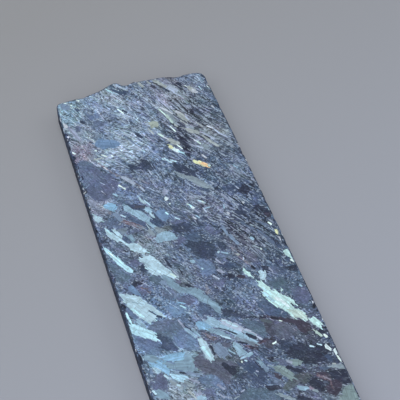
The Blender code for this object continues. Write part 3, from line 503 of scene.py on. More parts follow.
    ("ink", 24, 34, 24.3, 31.2, 0.5), ("ink", 24.9, 7.8, 25.1, 6.9, 0.6),
    ("ink", 25.2, -1.4, 25.4, -2.3, 0.5), ("ink", 25, 14.2, 24.9, 12.8, 0.4),
    ("ink", -8.4, 69.1, -6.4, 69.8, 0.5), ("night", -6, 70, -4.1, 69.9, 0.5),
    ("ink", -3.4, 69, -2.6, 68.3, 0.5), ("ink", 1.5, 68.6, 2.3, 68.3, 0.5),
    ("ink", 16.2, 66.3, 18.4, 66.2, 0.45), ("night", 19, 66.2, 22.4, 65.7, 0.4),
)

# Thin veins of speckled colour: colour, width, then the points along
VEINS = (
    ("wine", 0.8, (8.6, -21.6), (11.6, -22.3), (14.6, -23.8), (16.6, -24.9), (19.4, -26.6),
     (21.2, -27.4)),
    ("rust", 0.4, (9.6, -22.2), (13.4, -23.3), (15.6, -24.4), (18, -25.6)),
    ("ink", 0.5, (4.6, -20.2), (7, -21.2), (9, -21.4), (12.4, -22.7), (14.2, -23.4)),
    ("rust", 0.6, (2.6, -28.4), (4.2, -29.2), (6, -29), (8.4, -28.4)),
    ("wine", 0.8, (2.4, -28.8), (4.4, -29.6), (5.4, -30.4)),
    ("wine", 0.8, (5.6, -28.9), (8, -28.4), (10.2, -28.8)),
    ("rust", 0.9, (-6.8, -21.2), (-5.6, -22.8), (-4, -24.2)), ("clay", 0.6, (-7, -20.8), (-5, -23.6)),
    ("clay", 0.9, (-23.6, 29), (-21.4, 25.4)), ("clay", 0.7, (-20.4, 24.2), (-19, 22), (-17.6, 20.4)),
    ("clay", 0.9, (-18, 21), (-15.8, 18.4), (-13.6, 17.2), (-12.4, 15.6)),
    ("rust", 0.9, (-16.6, 19.2), (-14.8, 17.8), (-13.2, 17)), ("rust", 0.4, (-18.4, 21.6), (-16, 19.4)),
    ("clay", 0.5, (-19, 43), (-17.4, 40.6), (-15.6, 37.8), (-13, 34.4), (-10.6, 31.4), (-8.2, 29)),
    ("rust", 0.35, (-18, 41), (-15.4, 37.4)), ("clay", 0.4, (-5.8, 29.8), (-7.4, 31.6)),
    ("rust", 0.7, (17.6, -42.4), (19.2, -43.6), (20.6, -45), (20.2, -47)),
    ("clay", 0.4, (18.4, -42.2), (20.4, -44.8)), ("clay", 0.9, (-2, -7.4), (-1.2, -9), (-2.4, -10)),
    ("clay", 0.5, (9.4, 1.2), (10, -1), (11.6, -3), (13.4, -7)),
    ("haze", 0.2, (9.6, -16.4), (10.2, -19), (11, -20.6)), ("haze", 0.2, (15.2, -22.8), (16.2, -21.8)),
    ("rust", 0.8, (-19.2, -2.4), (-17.6, -3.4), (-17, -4.6)),
)
VEIN_GRAIN = {"length": (0.5, 1.6), "width": (0.16, 0.34), "tone": (0.65, 1.3)}
VEIN_GRAINS_PER_AREA = 4.0
# The width below which a vein gets no fewer grains, and how many spreads of its grains make its width
VEIN_FULL_FROM = 0.4
VEIN_SPREADS = 3

# Where the felt has the most needles: across, along, reach
NEEDLED = (
    (-16, 60, 11), (-2, 58, 11), (12, 60, 12), (14, 46, 13), (-9, 45, 9), (20, 34, 9), (3, 24, 10),
    (18, 18, 6), (18, 4, 8), (8, 16, 6), (-8, 0, 5), (-13, 10, 4),
)
FEWEST_NEEDLES = 0.18

# How the crystals lie: their direction in degrees, how it turns toward the foot, and how it drifts
FABRIC_AT_HEAD = -56.0
FABRIC_TURN = 13.0
TURN_STARTS = -12.0
TURN_ENDS = -45.0
FABRIC_DRIFT = 14.0
DRIFT_PITCH = 16.0
DRIFT_SEED = 3.0

# The felt's loose grains: how many, shortest and longest, narrowest and widest, and how bright each is
# beside its zone, at least and at most
LATHS = {"count": 900, "length": (1.2, 5.0), "width": (0.5, 1.4), "tone": (0.78, 1.25)}
# The needles' brightness is partly painted flash, the reflection of light off them
NEEDLES = {"count": 2400, "length": (0.9, 4.4), "width": (0.12, 0.22), "tone": (1.4, 2.4)}
SPECKS = {"count": 500, "length": (0.5, 1.6), "width": (0.3, 0.7), "tone": (0.4, 0.7)}
BACK_GRAINS = {"count": 500, "length": (1.4, 6.0), "width": (0.5, 1.4), "tone": (0.75, 1.25)}
SCATTER = 13.0
SLIVER_SLANT = 0.5
HUE_JITTER = 0.03
KEPT_ON_BEDS = 0.12

# The bright grains of the felt are a little warmer than the rock round them. Their brightness is partly the
# needles' own paleness and partly painted flash, the reflection of light off them
WARM_ABOVE = 1.3
WARM_HUE = np.array((1.14, 1.03, 0.87))

# Long needles in sheaves: across, along, reach, how many, tone. The bright sheaves' tone is partly painted
# flash off the needles
SHEAVES = (
    (12, 60, 7, 110, (1.3, 2.1)), (12, 51, 7, 60, (1.3, 2.1)), (15, 43, 7, 150, (1.3, 2.3)),
    (-9, 45, 7, 60, (1.3, 2.2)), (-6, 64, 5, 40, (1.3, 2.2)), (20, 26, 6, 40, (1.3, 2.2)),
    (18, 3, 7, 50, (1.3, 2.2)), (8, 17, 8, 40, (1.3, 2.0)),
    (14, 50, 10, 80, (0.3, 0.55)), (16, 6, 9, 40, (0.3, 0.55)),
)
SHEAF_NEEDLE = {"length": (3.0, 10.0), "width": (0.22, 0.55)}
SHEAF_SCATTER = 4.0

# The foot of the slab has no crystals listed above, and gets some at random
UNLISTED_BELOW = -50.0
UNLISTED = {"count": 70, "length": (2.0, 9.0), "width": (0.5, 1.7)}
UNLISTED_COLOURS = ("teal", "steel", "pool", "ice", "sage", "blue", "navy", "deep", "plum", "umber", "mint")

# Outlines are drawn with a point every so often, each a little off the line, and stop short of the rim
OUTLINE_STEP = 0.55
OUTLINE_WOBBLE = 0.08
BLADE_WOBBLE = 0.1
RIM_GAP = 0.12
LEAST_AREA = 0.02

# A blade's ends slant: how narrow its tips are, and how far from them its shoulders stand
BLADE_TIP = 0.3
BLADE_SLANT = (0.06, 0.24)
BLADE_NEAR_SHOULDER = 0.08
BLADE_FAR_SHOULDER = 0.1

# Thin blades are set off from the rock: how thin, how much darker or paler, and how pale at most
THIN = 0.7
SET_OFF = (0.65, 1.12)
PALEST = 0.97

# A crystal has strips of slightly different tone along it, splinters that make its outline ragged, and
# fine cracks across it. A place of 1 is on its outline, 0 in its middle
STRIPS_PER_AREA = 0.5
STRIP_PLACE = 0.6
STRIP_LENGTH = (0.2, 0.7)
STRIP_WIDTH = (0.25, 0.7)
STRIP_TONE = (0.8, 1.25)
SPLINTERS_PER_AREA = 0.8
MOST_SPLINTERS = 26
SPLINTER = {"length": (0.7, 2.2), "width": (0.2, 0.38), "tone": (0.85, 1.15)}
SPLINTER_FROM = 1.6
CRACKS_PER_AREA = 0.45
CRACK_PLACE = 0.7
CRACK_TURN = (1.1, 2.0)
CRACK = {"length": (0.7, 2.4), "width": (0.09, 0.15), "tone": (0.55, 0.8)}

# How strongly the shader's fine texture shows on each, and how far the fibres' pattern is shifted
# from one crystal to the next
FELT_TEXTURE = 1.0
BED_TEXTURE = 0.5
CRYSTAL_TEXTURE = 0.6
FIBRE_OFFSETS = (0, 50)
SEED = 7


def linear(colour):
    """A palette colour as scene-linear light, by the screen's standard curve."""
    return np.array([((level / 255 + 0.055) / 1.055) ** 2.4 for level in PALETTE[colour]])


def between(ends):
    """A random number between two ends."""
    return random.uniform(*ends)


def fabric(x, y):
    """The direction in which the crystals lie at a place, in radians."""
    turned = min(1.0, max(0.0, (TURN_STARTS - y) / (TURN_STARTS - TURN_ENDS)))
    drift = noise.noise(Vector((x / DRIFT_PITCH, y / DRIFT_PITCH, DRIFT_SEED)))
    return math.radians(FABRIC_AT_HEAD + FABRIC_TURN * turned + FABRIC_DRIFT * drift)


def scattered(run, degrees=SCATTER):
    """A direction turned a little at random."""
    return run + math.radians(random.gauss(0, degrees))


def direction(run):
    """The unit vector at an angle."""
    return np.array([math.cos(run), math.sin(run)])


ZONE_PLACES = np.array([zone[:2] for zone in ZONES], dtype=float)
ZONE_REACHES = np.array([zone[2] for zone in ZONES], dtype=float)
ZONE_TINTS = np.array([linear(zone[3]) for zone in ZONES])


def zone_tint(x, y):
    """The felt's mean colour at a place. A narrow zone pulls harder than a wide one."""
    away = ((ZONE_PLACES - (x, y)) ** 2).sum(axis=1) / ZONE_REACHES ** 2
    pull = np.exp(-away) / ZONE_REACHES
    total = pull.sum() + ZONE_BASE_WEIGHT
    return (pull @ ZONE_TINTS + ZONE_BASE_WEIGHT * linear(ZONE_BASE)) / total


def back_tint(x, y):
    """The sawn back's mean colour, the same at every place."""
    return linear(BACK_COLOUR)


class Rim:
    """The edge of a flat face, which no crystal's outline crosses."""

    def __init__(self, loop):
        self.loop = np.array(loop)
        self.low, self.high = self.loop.min(axis=0), self.loop.max(axis=0)
        self.steps = np.roll(self.loop, -1, axis=0) - self.loop
        self.lengths = (self.steps ** 2).sum(axis=1)
        self.inward = np.stack([-self.steps[:, 1], self.steps[:, 0]], axis=1)
        self.inward /= np.sqrt(self.lengths)[:, None]

    def pulled_in(self, point):
        """The point itself, or the place just inside the rim that is nearest to it."""
        offset = point - self.loop
        share = np.clip((offset * self.steps).sum(axis=1) / self.lengths, 0, 1)
        foot = self.loop + self.steps * share[:, None]
        away = point - foot
        i = int(np.argmin((away ** 2).sum(axis=1)))
        depth = away[i] @ self.inward[i]
        return point if depth > RIM_GAP else foot[i] + self.inward[i] * RIM_GAP

    def any_place(self, top=None):
        """A random place in the rim's box, or in the part of it below a top."""
        top = self.high[1] if top is None else top
        return [random.uniform(self.low[0], self.high[0]), random.uniform(self.low[1], top)]


class Shape:
    """One grain or crystal: its outline and colour, its fibres' way, and how strongly texture shows."""

    def __init__(self, outline, tint, texture, run):
        self.outline = outline
        self.tint = tint
        self.texture = texture
        self.run = run
        self.parent = None
        self.offset = between(FIBRE_OFFSETS)


def area_of(outline):
    """The signed area inside an outline, above nought when it runs anticlockwise."""
    x, y = np.array(outline).T
    return 0.5 * float(x @ np.roll(y, -1) - y @ np.roll(x, -1))


def covered(outline, spots):
    """Which of the spots lie inside an outline: those with an odd number of its edges on their right."""
    inside = np.zeros(len(spots), dtype=bool)
    x, y = spots[:, 0], spots[:, 1]
    corners = np.array(outline).tolist()
    for (x0, y0), (x1, y1) in zip(corners, corners[1:] + corners[:1]):
        if y0 != y1:
            beside = (y0 > y) != (y1 > y)
            inside ^= beside & (x < x0 + (y - y0) * (x1 - x0) / (y1 - y0))
    return inside


def finely_drawn(corners, wobble):
    """The outline with more points, each a little off the line."""
    points = []
    for start, end in zip(corners, np.roll(corners, -1, axis=0)):
        count = max(1, round(float(np.hypot(*(end - start))) / OUTLINE_STEP))
        for k in range(count):
            place = start + (end - start) * k / count
            points.append(place + np.array([random.gauss(0, wobble), random.gauss(0, wobble)]))
    return points


def fitted(outline, rim):
    """The outline kept inside the rim and running anticlockwise, or None if too little is left."""
    inside = [rim.pulled_in(np.array(point)) for point in outline]
    area = area_of(inside)
    if abs(area) < LEAST_AREA:
        return None
    return inside if area > 0 else inside[::-1]


def blade(start, end, width):
    """The outline of a blade from one end to the other, with slanting ends."""
    start, end = np.array(start), np.array(end)
    along = end - start
    across = np.array([-along[1], along[0]]) / np.hypot(*along) * width / 2
    slant = along * between(BLADE_SLANT)
    return [start - across * BLADE_TIP, start + slant - across, end - along * BLADE_FAR_SHOULDER - across,
            end + across * BLADE_TIP, end - slant + across, start + along * BLADE_NEAR_SHOULDER + across]


def sliver(middle, run, length, width):
    """The outline of a small grain: a lath of four corners with slanting ends."""
    along = direction(run) * length / 2
    across = np.array([-along[1], along[0]]) / length * width
    slant = along * random.uniform(-SLIVER_SLANT, SLIVER_SLANT)
    return [middle - along - across, middle + along - slant - across,
            middle + along + across, middle - along + slant + across]


def jittered(tint):
    """A tint with its hue moved a little."""
    return tint * np.array([1 + random.gauss(0, HUE_JITTER) for _ in range(3)])


def grain(rim, place, run, sort, tint=1.0, texture=FELT_TEXTURE):
    """One small grain of a sort, or nothing where the rim leaves too little of it."""
    outline = fitted(sliver(np.array(place), run, between(sort["length"]), between(sort["width"])), rim)
    tone = between(sort["tone"])
    if texture == FELT_TEXTURE and tone > WARM_ABOVE:
        tone = tone * WARM_HUE
    return [Shape(outline, jittered(tint * tone), texture, run)] if outline else []


def needled(x, y):
    """How thickly needles lie in the felt at a place, from 0 to 1."""
    most = sum(math.exp(-((x - cx) ** 2 + (y - cy) ** 2) / reach ** 2) for cx, cy, reach in NEEDLED)
    return min(1.0, FEWEST_NEEDLES + most)


def on_a_bed(beds, spots):
    """Which of the spots lie on a bed."""
    found = np.zeros(len(spots), dtype=bool)
    for bed in beds:
        found |= covered(bed.outline, spots)
    return found


def felt(rim, sort, beds=(), density=None):
    """Scatter one sort of grain over the face, thinly where a bed lies."""
    spots = np.array([rim.any_place() for _ in range(sort["count"])])
    shapes = []
    for (x, y), is_on_bed in zip(spots, on_a_bed(beds, spots)):
        run = scattered(fabric(x, y))
        share = (KEPT_ON_BEDS if is_on_bed else 1.0) * (density(x, y) if density else 1.0)
        if random.random() < share:
            shapes += grain(rim, (x, y), run, sort)
    return shapes


def sheaves(rim, beds):
    """The long needles that lie side by side, with few on the beds."""
    shapes = []
    for x, y, reach, count, tone in SHEAVES:
        spots = np.array([[random.gauss(x, reach / 2), random.gauss(y, reach / 2)] for _ in range(count)])
        for place, is_on_bed in zip(spots, on_a_bed(beds, spots)):
            run = scattered(fabric(*place), SHEAF_SCATTER)
            if not is_on_bed or random.random() < KEPT_ON_BEDS:
                shapes += grain(rim, place, run, SHEAF_NEEDLE | {"tone": tone})
    return shapes


def vein(rim, colour, width, points):
    """Short splinters scattered along a line."""
    shapes = []
    for start, end in zip(points, points[1:]):
        start, step = np.array(start), np.array(end) - start
        length, run = math.hypot(*step), math.atan2(step[1], step[0])
        for _ in range(round(length * max(width, VEIN_FULL_FROM) * VEIN_GRAINS_PER_AREA)):
            share, aside = random.random(), random.gauss(0, width / VEIN_SPREADS)
            place = start + step * share + np.array([-math.sin(run), math.cos(run)]) * aside
            shapes += grain(rim, place, scattered(run), VEIN_GRAIN, linear(colour), BED_TEXTURE)
    return shapes


def set_off(tint):
    """The tint of a thin blade, moved away from the rock's own so that the blade stands out."""
    return np.minimum(tint * np.clip(tint / linear(ZONE_BASE), *SET_OFF), PALEST)


def long_axis(points):
    """The direction of a crystal's longest run, in radians."""
    values, axes = np.linalg.eigh(np.cov(np.array(points).T))
    x, y = axes[:, int(np.argmax(values))]
    return math.atan2(y, x)


def crystal(rim, corners, tint, run, wobble=OUTLINE_WOBBLE, texture=CRYSTAL_TEXTURE):
    """One crystal with its splinters beneath it, as a list from the lowest to the highest."""
    outline = fitted(finely_drawn(np.array(corners), wobble), rim)
    if not outline:
        return []
    area = area_of(outline)
    shapes = []
    if area > SPLINTER_FROM:
        for _ in range(min(MOST_SPLINTERS, round(area * SPLINTERS_PER_AREA))):
            lain = scattered(run, SHEAF_SCATTER)
            shapes += grain(rim, random.choice(outline), lain, SPLINTER, tint, texture)
    return shapes + [Shape(outline, tint, texture, run)]


def strips(rim, owner):
    """Strips of slightly different tone along a crystal."""
    centre = np.array(owner.outline).mean(axis=0)
    reach = np.abs((np.array(owner.outline) - centre) @ direction(owner.run)).max()
    shapes = []
    for _ in range(round(area_of(owner.outline) * STRIPS_PER_AREA)):
        middle = np.array(random.choice(owner.outline)) * STRIP_PLACE + centre * (1 - STRIP_PLACE)
        length = 2 * reach * between(STRIP_LENGTH)
        outline = fitted(sliver(middle, owner.run, length, between(STRIP_WIDTH)), rim)
        if outline:
            shapes.append(Shape(outline, owner.tint * between(STRIP_TONE), owner.texture, owner.run))
    return shapes


def cracks(rim, owner):
    """Fine dark cracks across a crystal."""
    centre = np.array(owner.outline).mean(axis=0)
    shapes = []
    for _ in range(round(area_of(owner.outline) * CRACKS_PER_AREA)):
        middle = np.array(random.choice(owner.outline)) * CRACK_PLACE + centre * (1 - CRACK_PLACE)
        shapes += grain(rim, middle, owner.run + between(CRACK_TURN), CRACK, owner.tint, owner.texture)
    return shapes


def stack(shapes, rim, crystals):
    """Put crystals on top of the shapes, each with its strips and cracks, which show on it alone."""
    for owner in crystals:
        shapes.append(owner)
        parent = len(shapes) - 1
        marks = strips(rim, owner)
        if owner.texture == CRYSTAL_TEXTURE:
            marks += cracks(rim, owner)
        for mark in marks:
            mark.parent = parent
        shapes += marks


def beds_of(rim):
    """The dark patches of rock."""
    shapes = []
    for colour, *corners in BEDS:
        shapes += crystal(rim, corners, linear(colour), long_axis(corners), texture=BED_TEXTURE)
    return shapes


def crystals_of(rim):
    """The crystals at random over the foot, then the listed ones, then the blades."""
    shapes = []
    for _ in range(UNLISTED["count"]):
        place = np.array(rim.any_place(UNLISTED_BELOW))
        run = scattered(fabric(*place))
        reach = direction(run) * between(UNLISTED["length"]) / 2
        corners = blade(place - reach, place + reach, between(UNLISTED["width"]))
        shapes += crystal(rim, corners, linear(random.choice(UNLISTED_COLOURS)), run)
    for colour, *corners in CRYSTALS:
        shapes += crystal(rim, corners, linear(colour), long_axis(corners))
    for colour, x0, y0, x1, y1, width in BLADES:
        run = math.atan2(y1 - y0, x1 - x0)
        wobble = min(OUTLINE_WOBBLE, width * BLADE_WOBBLE)
        tint = set_off(linear(colour)) if width < THIN else linear(colour)
        shapes += crystal(rim, blade((x0, y0), (x1, y1), width), tint, run, wobble)
    return shapes


def polished_face(rim):
    """Every grain and crystal of the polished face, from the lowest to the highest."""
    shapes = felt(rim, LATHS)
    beds = beds_of(rim)
    stack(shapes, rim, beds)
    shapes += felt(rim, SPECKS, beds) + felt(rim, NEEDLES, beds, needled) + sheaves(rim, beds)
    for colour, width, *points in VEINS:
        shapes += vein(rim, colour, width, points)
    stack(shapes, rim, crystals_of(rim))
    return shapes


def sawn_back(rim):
    """The grains of the sawn back, larger than the polished face's."""
    return felt(rim, BACK_GRAINS)


# The cutting of a flat: only what lies within an outline is kept, how nearly two points meet, how far off
# a line a point still counts as on it, and the decimals that name a point
WITHIN_OUTLINES = 1
CUT_TOLERANCE = 1e-5
STRAIGHT = 0.004
DECIMALS = 4


def highest(shapes, spots):
    """The number of the highest shape over each spot, or -1. A strip stays on its own crystal."""
    order = np.argsort(spots[:, 1])
    spots = spots[order]
    tops = np.full(len(spots), -1)
    owners = np.full(len(spots), -1)
    for number, shape in enumerate(shapes):
        low, high = np.min(shape.outline, axis=0), np.max(shape.outline, axis=0)
        first, last = np.searchsorted(spots[:, 1], (low[1], high[1]))
        across = spots[first:last, 0]
        near = first + np.nonzero((across > low[0]) & (across < high[0]))[0]
        inside = near[covered(shape.outline, spots[near])]
        if shape.parent is None:
            owners[inside] = number
        else:
            inside = inside[owners[inside] == shape.parent]
        tops[inside] = number
    result = np.empty_like(tops)
    result[order] = tops
    return result


def cut(rim, shapes, points, edges):
    """Cut the flat inside the rim along the edges: its points, its triangles, the shape seen on each."""
    found = delaunay_2d_cdt(points, edges, [], WITHIN_OUTLINES, CUT_TOLERANCE, False)
    places, triangles = found[0], found[2]
    corners = np.array([places[i] for triangle in triangles for i in triangle]).reshape(-1, 3, 2)
    middles = corners.mean(axis=1)
    kept = np.nonzero(covered(rim.loop, middles))[0]
    return places, [triangles[i] for i in kept], highest(shapes, middles[kept])


def seams(triangles, tops):
    """The edges between two different shapes, and those along the rim."""
    sides = {}
    for corners, top in zip(triangles, tops):
        for k in range(3):
            sides.setdefault(tuple(sorted((corners[k], corners[k - 1]))), []).append(top)
    return [edge for edge, shown in sides.items() if len(shown) == 1 or shown[0] != shown[1]]


def name_of(point):
    """A point's rounded coordinates, by which the same point is found again."""
    return round(float(point[0]), DECIMALS), round(float(point[1]), DECIMALS)


def is_straight(start, middle, end):
    """Whether the middle point lies on the straight line between the other two."""
    here, ahead = middle - start, end - middle
    return here.dot(ahead) > 0 and abs(here.cross(ahead)) < STRAIGHT * (here + ahead).length


def straightened(places, edges, rim):
    """The edges with every point left out that lies on a straight run of one line."""
    beside = {}
    for a, b in edges:
        beside.setdefault(a, set()).add(b)
        beside.setdefault(b, set()).add(a)
    on_rim = {name_of(point) for point in rim.loop}
    for i in sorted(beside):
        if len(beside[i]) == 2 and name_of(places[i]) not in on_rim:
            a, b = beside[i]
            if is_straight(places[a], places[i], places[b]) and b not in beside[a]:
                beside[a] = beside[a] - {i} | {b}
                beside[b] = beside[b] - {i} | {a}
                del beside[i]
    numbers = {old: new for new, old in enumerate(sorted(beside))}
    kept = [(numbers[a], numbers[b]) for a in beside for b in beside[a] if a < b]
    return [places[old] for old in sorted(beside)], kept


def mosaic(rim, shapes):
    """The flat inside the rim, cut along what shows of every outline: points, and triangles with shapes."""
    points, edges = [], []
    for outline in [rim.loop] + [shape.outline for shape in shapes]:
        first, count = len(points), len(outline)
        edges += [(first + k, first + (k + 1) % count) for k in range(count)]
        points += [Vector(point) for point in outline]
    places, triangles, tops = cut(rim, shapes, points, edges)
    points, edges = straightened(places, seams(triangles, tops), rim)
    places, triangles, tops = cut(rim, shapes, points, edges)
    return places, [(corners, shapes[top] if top >= 0 else None) for corners, top in zip(triangles, tops)]


# The wall between the two flat faces: how it is cut, and how deep and at what pitches it is roughened
WELD = 1e-6
LEVEL_TOLERANCE = 0.001
WALL_CUTS = 1
WALL_RELIEF = 0.16
WALL_PITCHES = (1.1, 0.45)

# The colours of its small patches and of the chipped slopes at its top, and how far their tones swing
WALL_COLOURS = ("ink", "night", "umber", "ink", "navy")
CHIP_COLOURS = ("night", "ink", "navy", "dusk", "umber", "steel", "brown", "navy", "night", "pearl")
WALL_PATCH = 0.9
CHIP_PATCH = 0.7
PATCH_TONES = (0.75, 1.25)
TONE_SHIFT = Vector((5, 0, 0))
CHIP_SLOPE = 0.25
CHIP_LEVEL = 0.75
BACK_COLOUR = "moss"


def is_level(vertex, height):
    """Whether a vertex lies at a height."""
    return abs(vertex.co.z - height) < LEVEL_TOLERANCE


def wall_mesh():
    """The slab's wall between its two flat faces, cut finer and roughened inward."""
    mesh = bmesh.new()
    mesh.from_mesh(CAD_SLAB.data)
    bmesh.ops.remove_doubles(mesh, verts=mesh.verts[:], dist=WELD)
    bmesh.ops.scale(mesh, vec=Vector((1, 1, 1)) / MM, verts=mesh.verts[:])
    flats = [face for face in mesh.faces if all(is_level(v, LOW.z) for v in face.verts)
             or all(is_level(v, HIGH.z) for v in face.verts)]
    bmesh.ops.delete(mesh, geom=flats, context="FACES")
    bmesh.ops.subdivide_edges(mesh, edges=mesh.edges[:], cuts=WALL_CUTS, use_grid_fill=True)
    mesh.normal_update()
    moves = []
    for vertex in mesh.verts:
        if not vertex.is_boundary:
            rough = sum(noise.noise(vertex.co / pitch) for pitch in WALL_PITCHES) / len(WALL_PITCHES)
            level = Vector((vertex.normal.x, vertex.normal.y, 0))
            moves.append((vertex, -level * WALL_RELIEF * abs(rough)))
    for vertex, move in moves:
        vertex.co += move
    return mesh


def open_loop(mesh, height):
    """The wall's open edge at a height, anticlockwise seen from above, as points in the plane."""
    edges = [e for e in mesh.edges if e.is_boundary and all(is_level(v, height) for v in e.verts)]
    follows = {}
    for edge in edges:
        for vertex in edge.verts:
            follows.setdefault(vertex, []).append(edge.other_vert(vertex))
    first = edges[0].verts[0]
    loop, last = [first], first
    here = follows[first][0]
    while here is not first:
        loop.append(here)
        ahead = [v for v in follows[here] if v is not last]
        last, here = here, ahead[0]
    points = [(v.co.x, v.co.y) for v in loop]
    return points if area_of(points) > 0 else points[::-1]


def picked(colours, place):
    """One of the colours, the same over a small patch of the wall."""
    pick = int(abs(noise.cell(place)) * len(colours)) % len(colours)
    low, high = PATCH_TONES
    tone = low + (high - low) * abs(noise.cell(place + TONE_SHIFT))
    return Vector(linear(colours[pick]) * tone)


def wall_tint(face):
    """The colour of one face of the wall or of a chip."""
    middle = face.calc_center_median()
    if face.normal.z > CHIP_SLOPE and middle.z > CHIP_LEVEL * HIGH.z:
        return picked(CHIP_COLOURS, middle / CHIP_PATCH)
    return picked(WALL_COLOURS, middle / WALL_PATCH)


def add_flat(mesh, layers, height, shapes_on, ground_at):
    """Close the stone at one height with a flat face, cut into its shapes."""
    is_polished = height == HIGH.z
    rim = Rim(open_loop(mesh, height))
    places, triangles = mosaic(rim, shapes_on(rim))
    verts = [mesh.verts.new((x, y, height)) for x, y in places]
    for vert in verts:
        vert[layers["ground"]] = Vector(ground_at(vert.co.x, vert.co.y))
        vert[layers["needled"]] = needled(vert.co.x, vert.co.y)
    for corners, shape in triangles:
        ring = [verts[i] for i in corners]
        face = mesh.faces.new(ring if is_polished else ring[::-1])
        face[layers["tint"]] = Vector(shape.tint) if shape else (1, 1, 1)
        face[layers["surface"]] = (shape.texture if shape else FELT_TEXTURE, is_polished, 0)
        if shape:
            face[layers["fibre"]] = (shape.run, shape.offset, shape.texture == CRYSTAL_TEXTURE)


def stone_mesh():
    """The whole closed stone, with a colour, a fibre direction and a finish on every face."""
    mesh = wall_mesh()
    layers = {name: mesh.faces.layers.float_vector.new(name) for name in ("tint", "fibre", "surface")}
    layers["ground"] = mesh.verts.layers.float_vector.new("ground")
    layers["needled"] = mesh.verts.layers.float.new("needled")
    for face in mesh.faces:
        face[layers["tint"]] = wall_tint(face)
        face[layers["surface"]] = (FELT_TEXTURE, 0, 1)
    add_flat(mesh, layers, HIGH.z, polished_face, zone_tint)
    add_flat(mesh, layers, LOW.z, sawn_back, back_tint)
    bmesh.ops.scale(mesh, vec=Vector((MM, MM, MM)), verts=mesh.verts[:])
    loose = [v for v in mesh.verts if not v.link_faces]
    bmesh.ops.delete(mesh, geom=loose, context="VERTS")
    bmesh.ops.remove_doubles(mesh, verts=mesh.verts[:], dist=WELD)
    return mesh


def add_node(tree, kind, inputs=(), **settings):
    """A new shader node with its settings, and its inputs linked or filled in."""
    node = tree.nodes.new("ShaderNode" + kind)
    for name, value in settings.items():
        setattr(node, name, value)
    for name, value in dict(inputs).items():
        if isinstance(value, bpy.types.NodeSocket):
            tree.links.new(value, node.inputs[name])
        else:
            node.inputs[name].default_value = value
    return node


def attribute(tree, name, output="Color"):
    """What the mesh says of each place under a name."""
    return add_node(tree, "Attribute", attribute_name=name).outputs[output]


def maths(tree, operation, a, b=0.0, c=0.0):
    """The result of one sum."""
    return add_node(tree, "Math", {0: a, 1: b, 2: c}, operation=operation).outputs[0]


def product(tree, first, *others):
    """All the values multiplied together."""
    for value in others:
        first = maths(tree, "MULTIPLY", first, value)
    return first


def vectors(tree, operation, a, b):
    """The result of one sum of vectors."""
    return add_node(tree, "VectorMath", {0: a, 1: b}, operation=operation).outputs[0]


def scaled(tree, vector, factor):
    """A vector made longer or shorter."""
    return add_node(tree, "VectorMath", {0: vector, "Scale": factor}, operation="SCALE").outputs[0]


def parts(tree, vector):
    """The three numbers of a vector or a colour."""
    return add_node(tree, "SeparateXYZ", {0: vector}).outputs


def ranged(tree, value, new, old=(0.0, 1.0)):
    """A value moved from an old range to a new one, and kept inside it."""
    names = {"Value": value, "From Min": old[0], "From Max": old[1], "To Min": new[0], "To Max": new[1]}
    return add_node(tree, "MapRange", names).outputs["Result"]


def noise_of(tree, vector, sort, output="Fac"):
    """Cloudy noise from 0 to 1, of a scale and a detail."""
    scale, detail = sort
    inputs = {"Vector": vector, "Scale": scale, "Detail": detail, "Roughness": NOISE_ROUGHNESS}
    return add_node(tree, "TexNoise", inputs).outputs[output]


def blended(tree, blend, factor, a, b):
    """Two colours mixed. The node's inputs 6 and 7 and its output 2 are those for colours."""
    inputs = {0: factor, 6: a, 7: b}
    return add_node(tree, "Mix", inputs, data_type="RGBA", blend_type=blend).outputs[2]


# The finest grains, drawn in the shader: direction in degrees, length and width in millimetres
DOMAINS = (-50.0, 5.5, 2.6)
MATRIX_GRAINS = (-54.0, 1.9, 0.25)
FINE_GRAINS = (-34.0, 0.4, 0.22)
PALE_GRAINS = (-58.0, 2.4, 0.24)
DARK_GRAINS = (-46.0, 0.8, 0.4)
PALE_DOTS = (-20.0, 0.46, 0.3)
CRYSTAL_FIBRES = (0.0, 4.0, 0.4)

# The noises that bend the grains, make the domains ragged, mottle the rock and cloud its hue: scale in
# cycles per millimetre, and detail
NOISE_ROUGHNESS = 0.55
BEND_NOISE = (0.06, 0.0)
BEND_REACH = 7.0
RAGGED_NOISE = (0.7, 2.0)
RAGGED_REACH = 1.6
MOTTLE_NOISE = (0.9, 3.0)
HUE_NOISE = (0.3, 2.0)
HUE_SPREAD = 0.06
HUE_CLOUDS = 0.24

# How far the rock's tone swings with each, and where the mottling noise mostly lies
STREAK_DEPTHS = (0.35, 0.7)
DOMAIN_TONES = (0.74, 1.26)
FINE_TONES = (0.35, 1.65)
FELT_MOTTLES = (0.75, 1.25)
FIBRE_TONES = (0.72, 1.28)
CRYSTAL_MOTTLES = (0.8, 1.2)
MOTTLE_MIDDLE = (0.33, 0.67)

# Only the rarest of the pale and dark grains show: how rare, how strongly, in what colour. The pale grains
# show on the polished face alone and are partly painted flash off it
RAREST = (0.92, 0.95)
RARE = (0.88, 0.91)
DARK_STRENGTH = (0.0, 0.6)
PALE_STRENGTH = (0.0, 0.75)
DOT_STRENGTH = (0.0, 0.6)
PALE_COLOUR = (0.42, 0.52, 0.66, 1.0)
DARK_COLOUR = (0.022, 0.032, 0.058, 1.0)

# The texture above which a face is felt, and how much of the rare grains the beds and the felt show
FELT_ABOVE = 0.9
RARE_GRAINS_SHOWN = (0.2, 1.0)

# The gloss: how rough the back and the polished face are, how rough the wall is, and a thin clear coat
BACK_TO_POLISHED = (0.64, 0.34)
WALL_ROUGHNESS = 0.8
COAT = 0.25
COAT_ROUGHNESS = 0.08
SPECULAR = 0.3


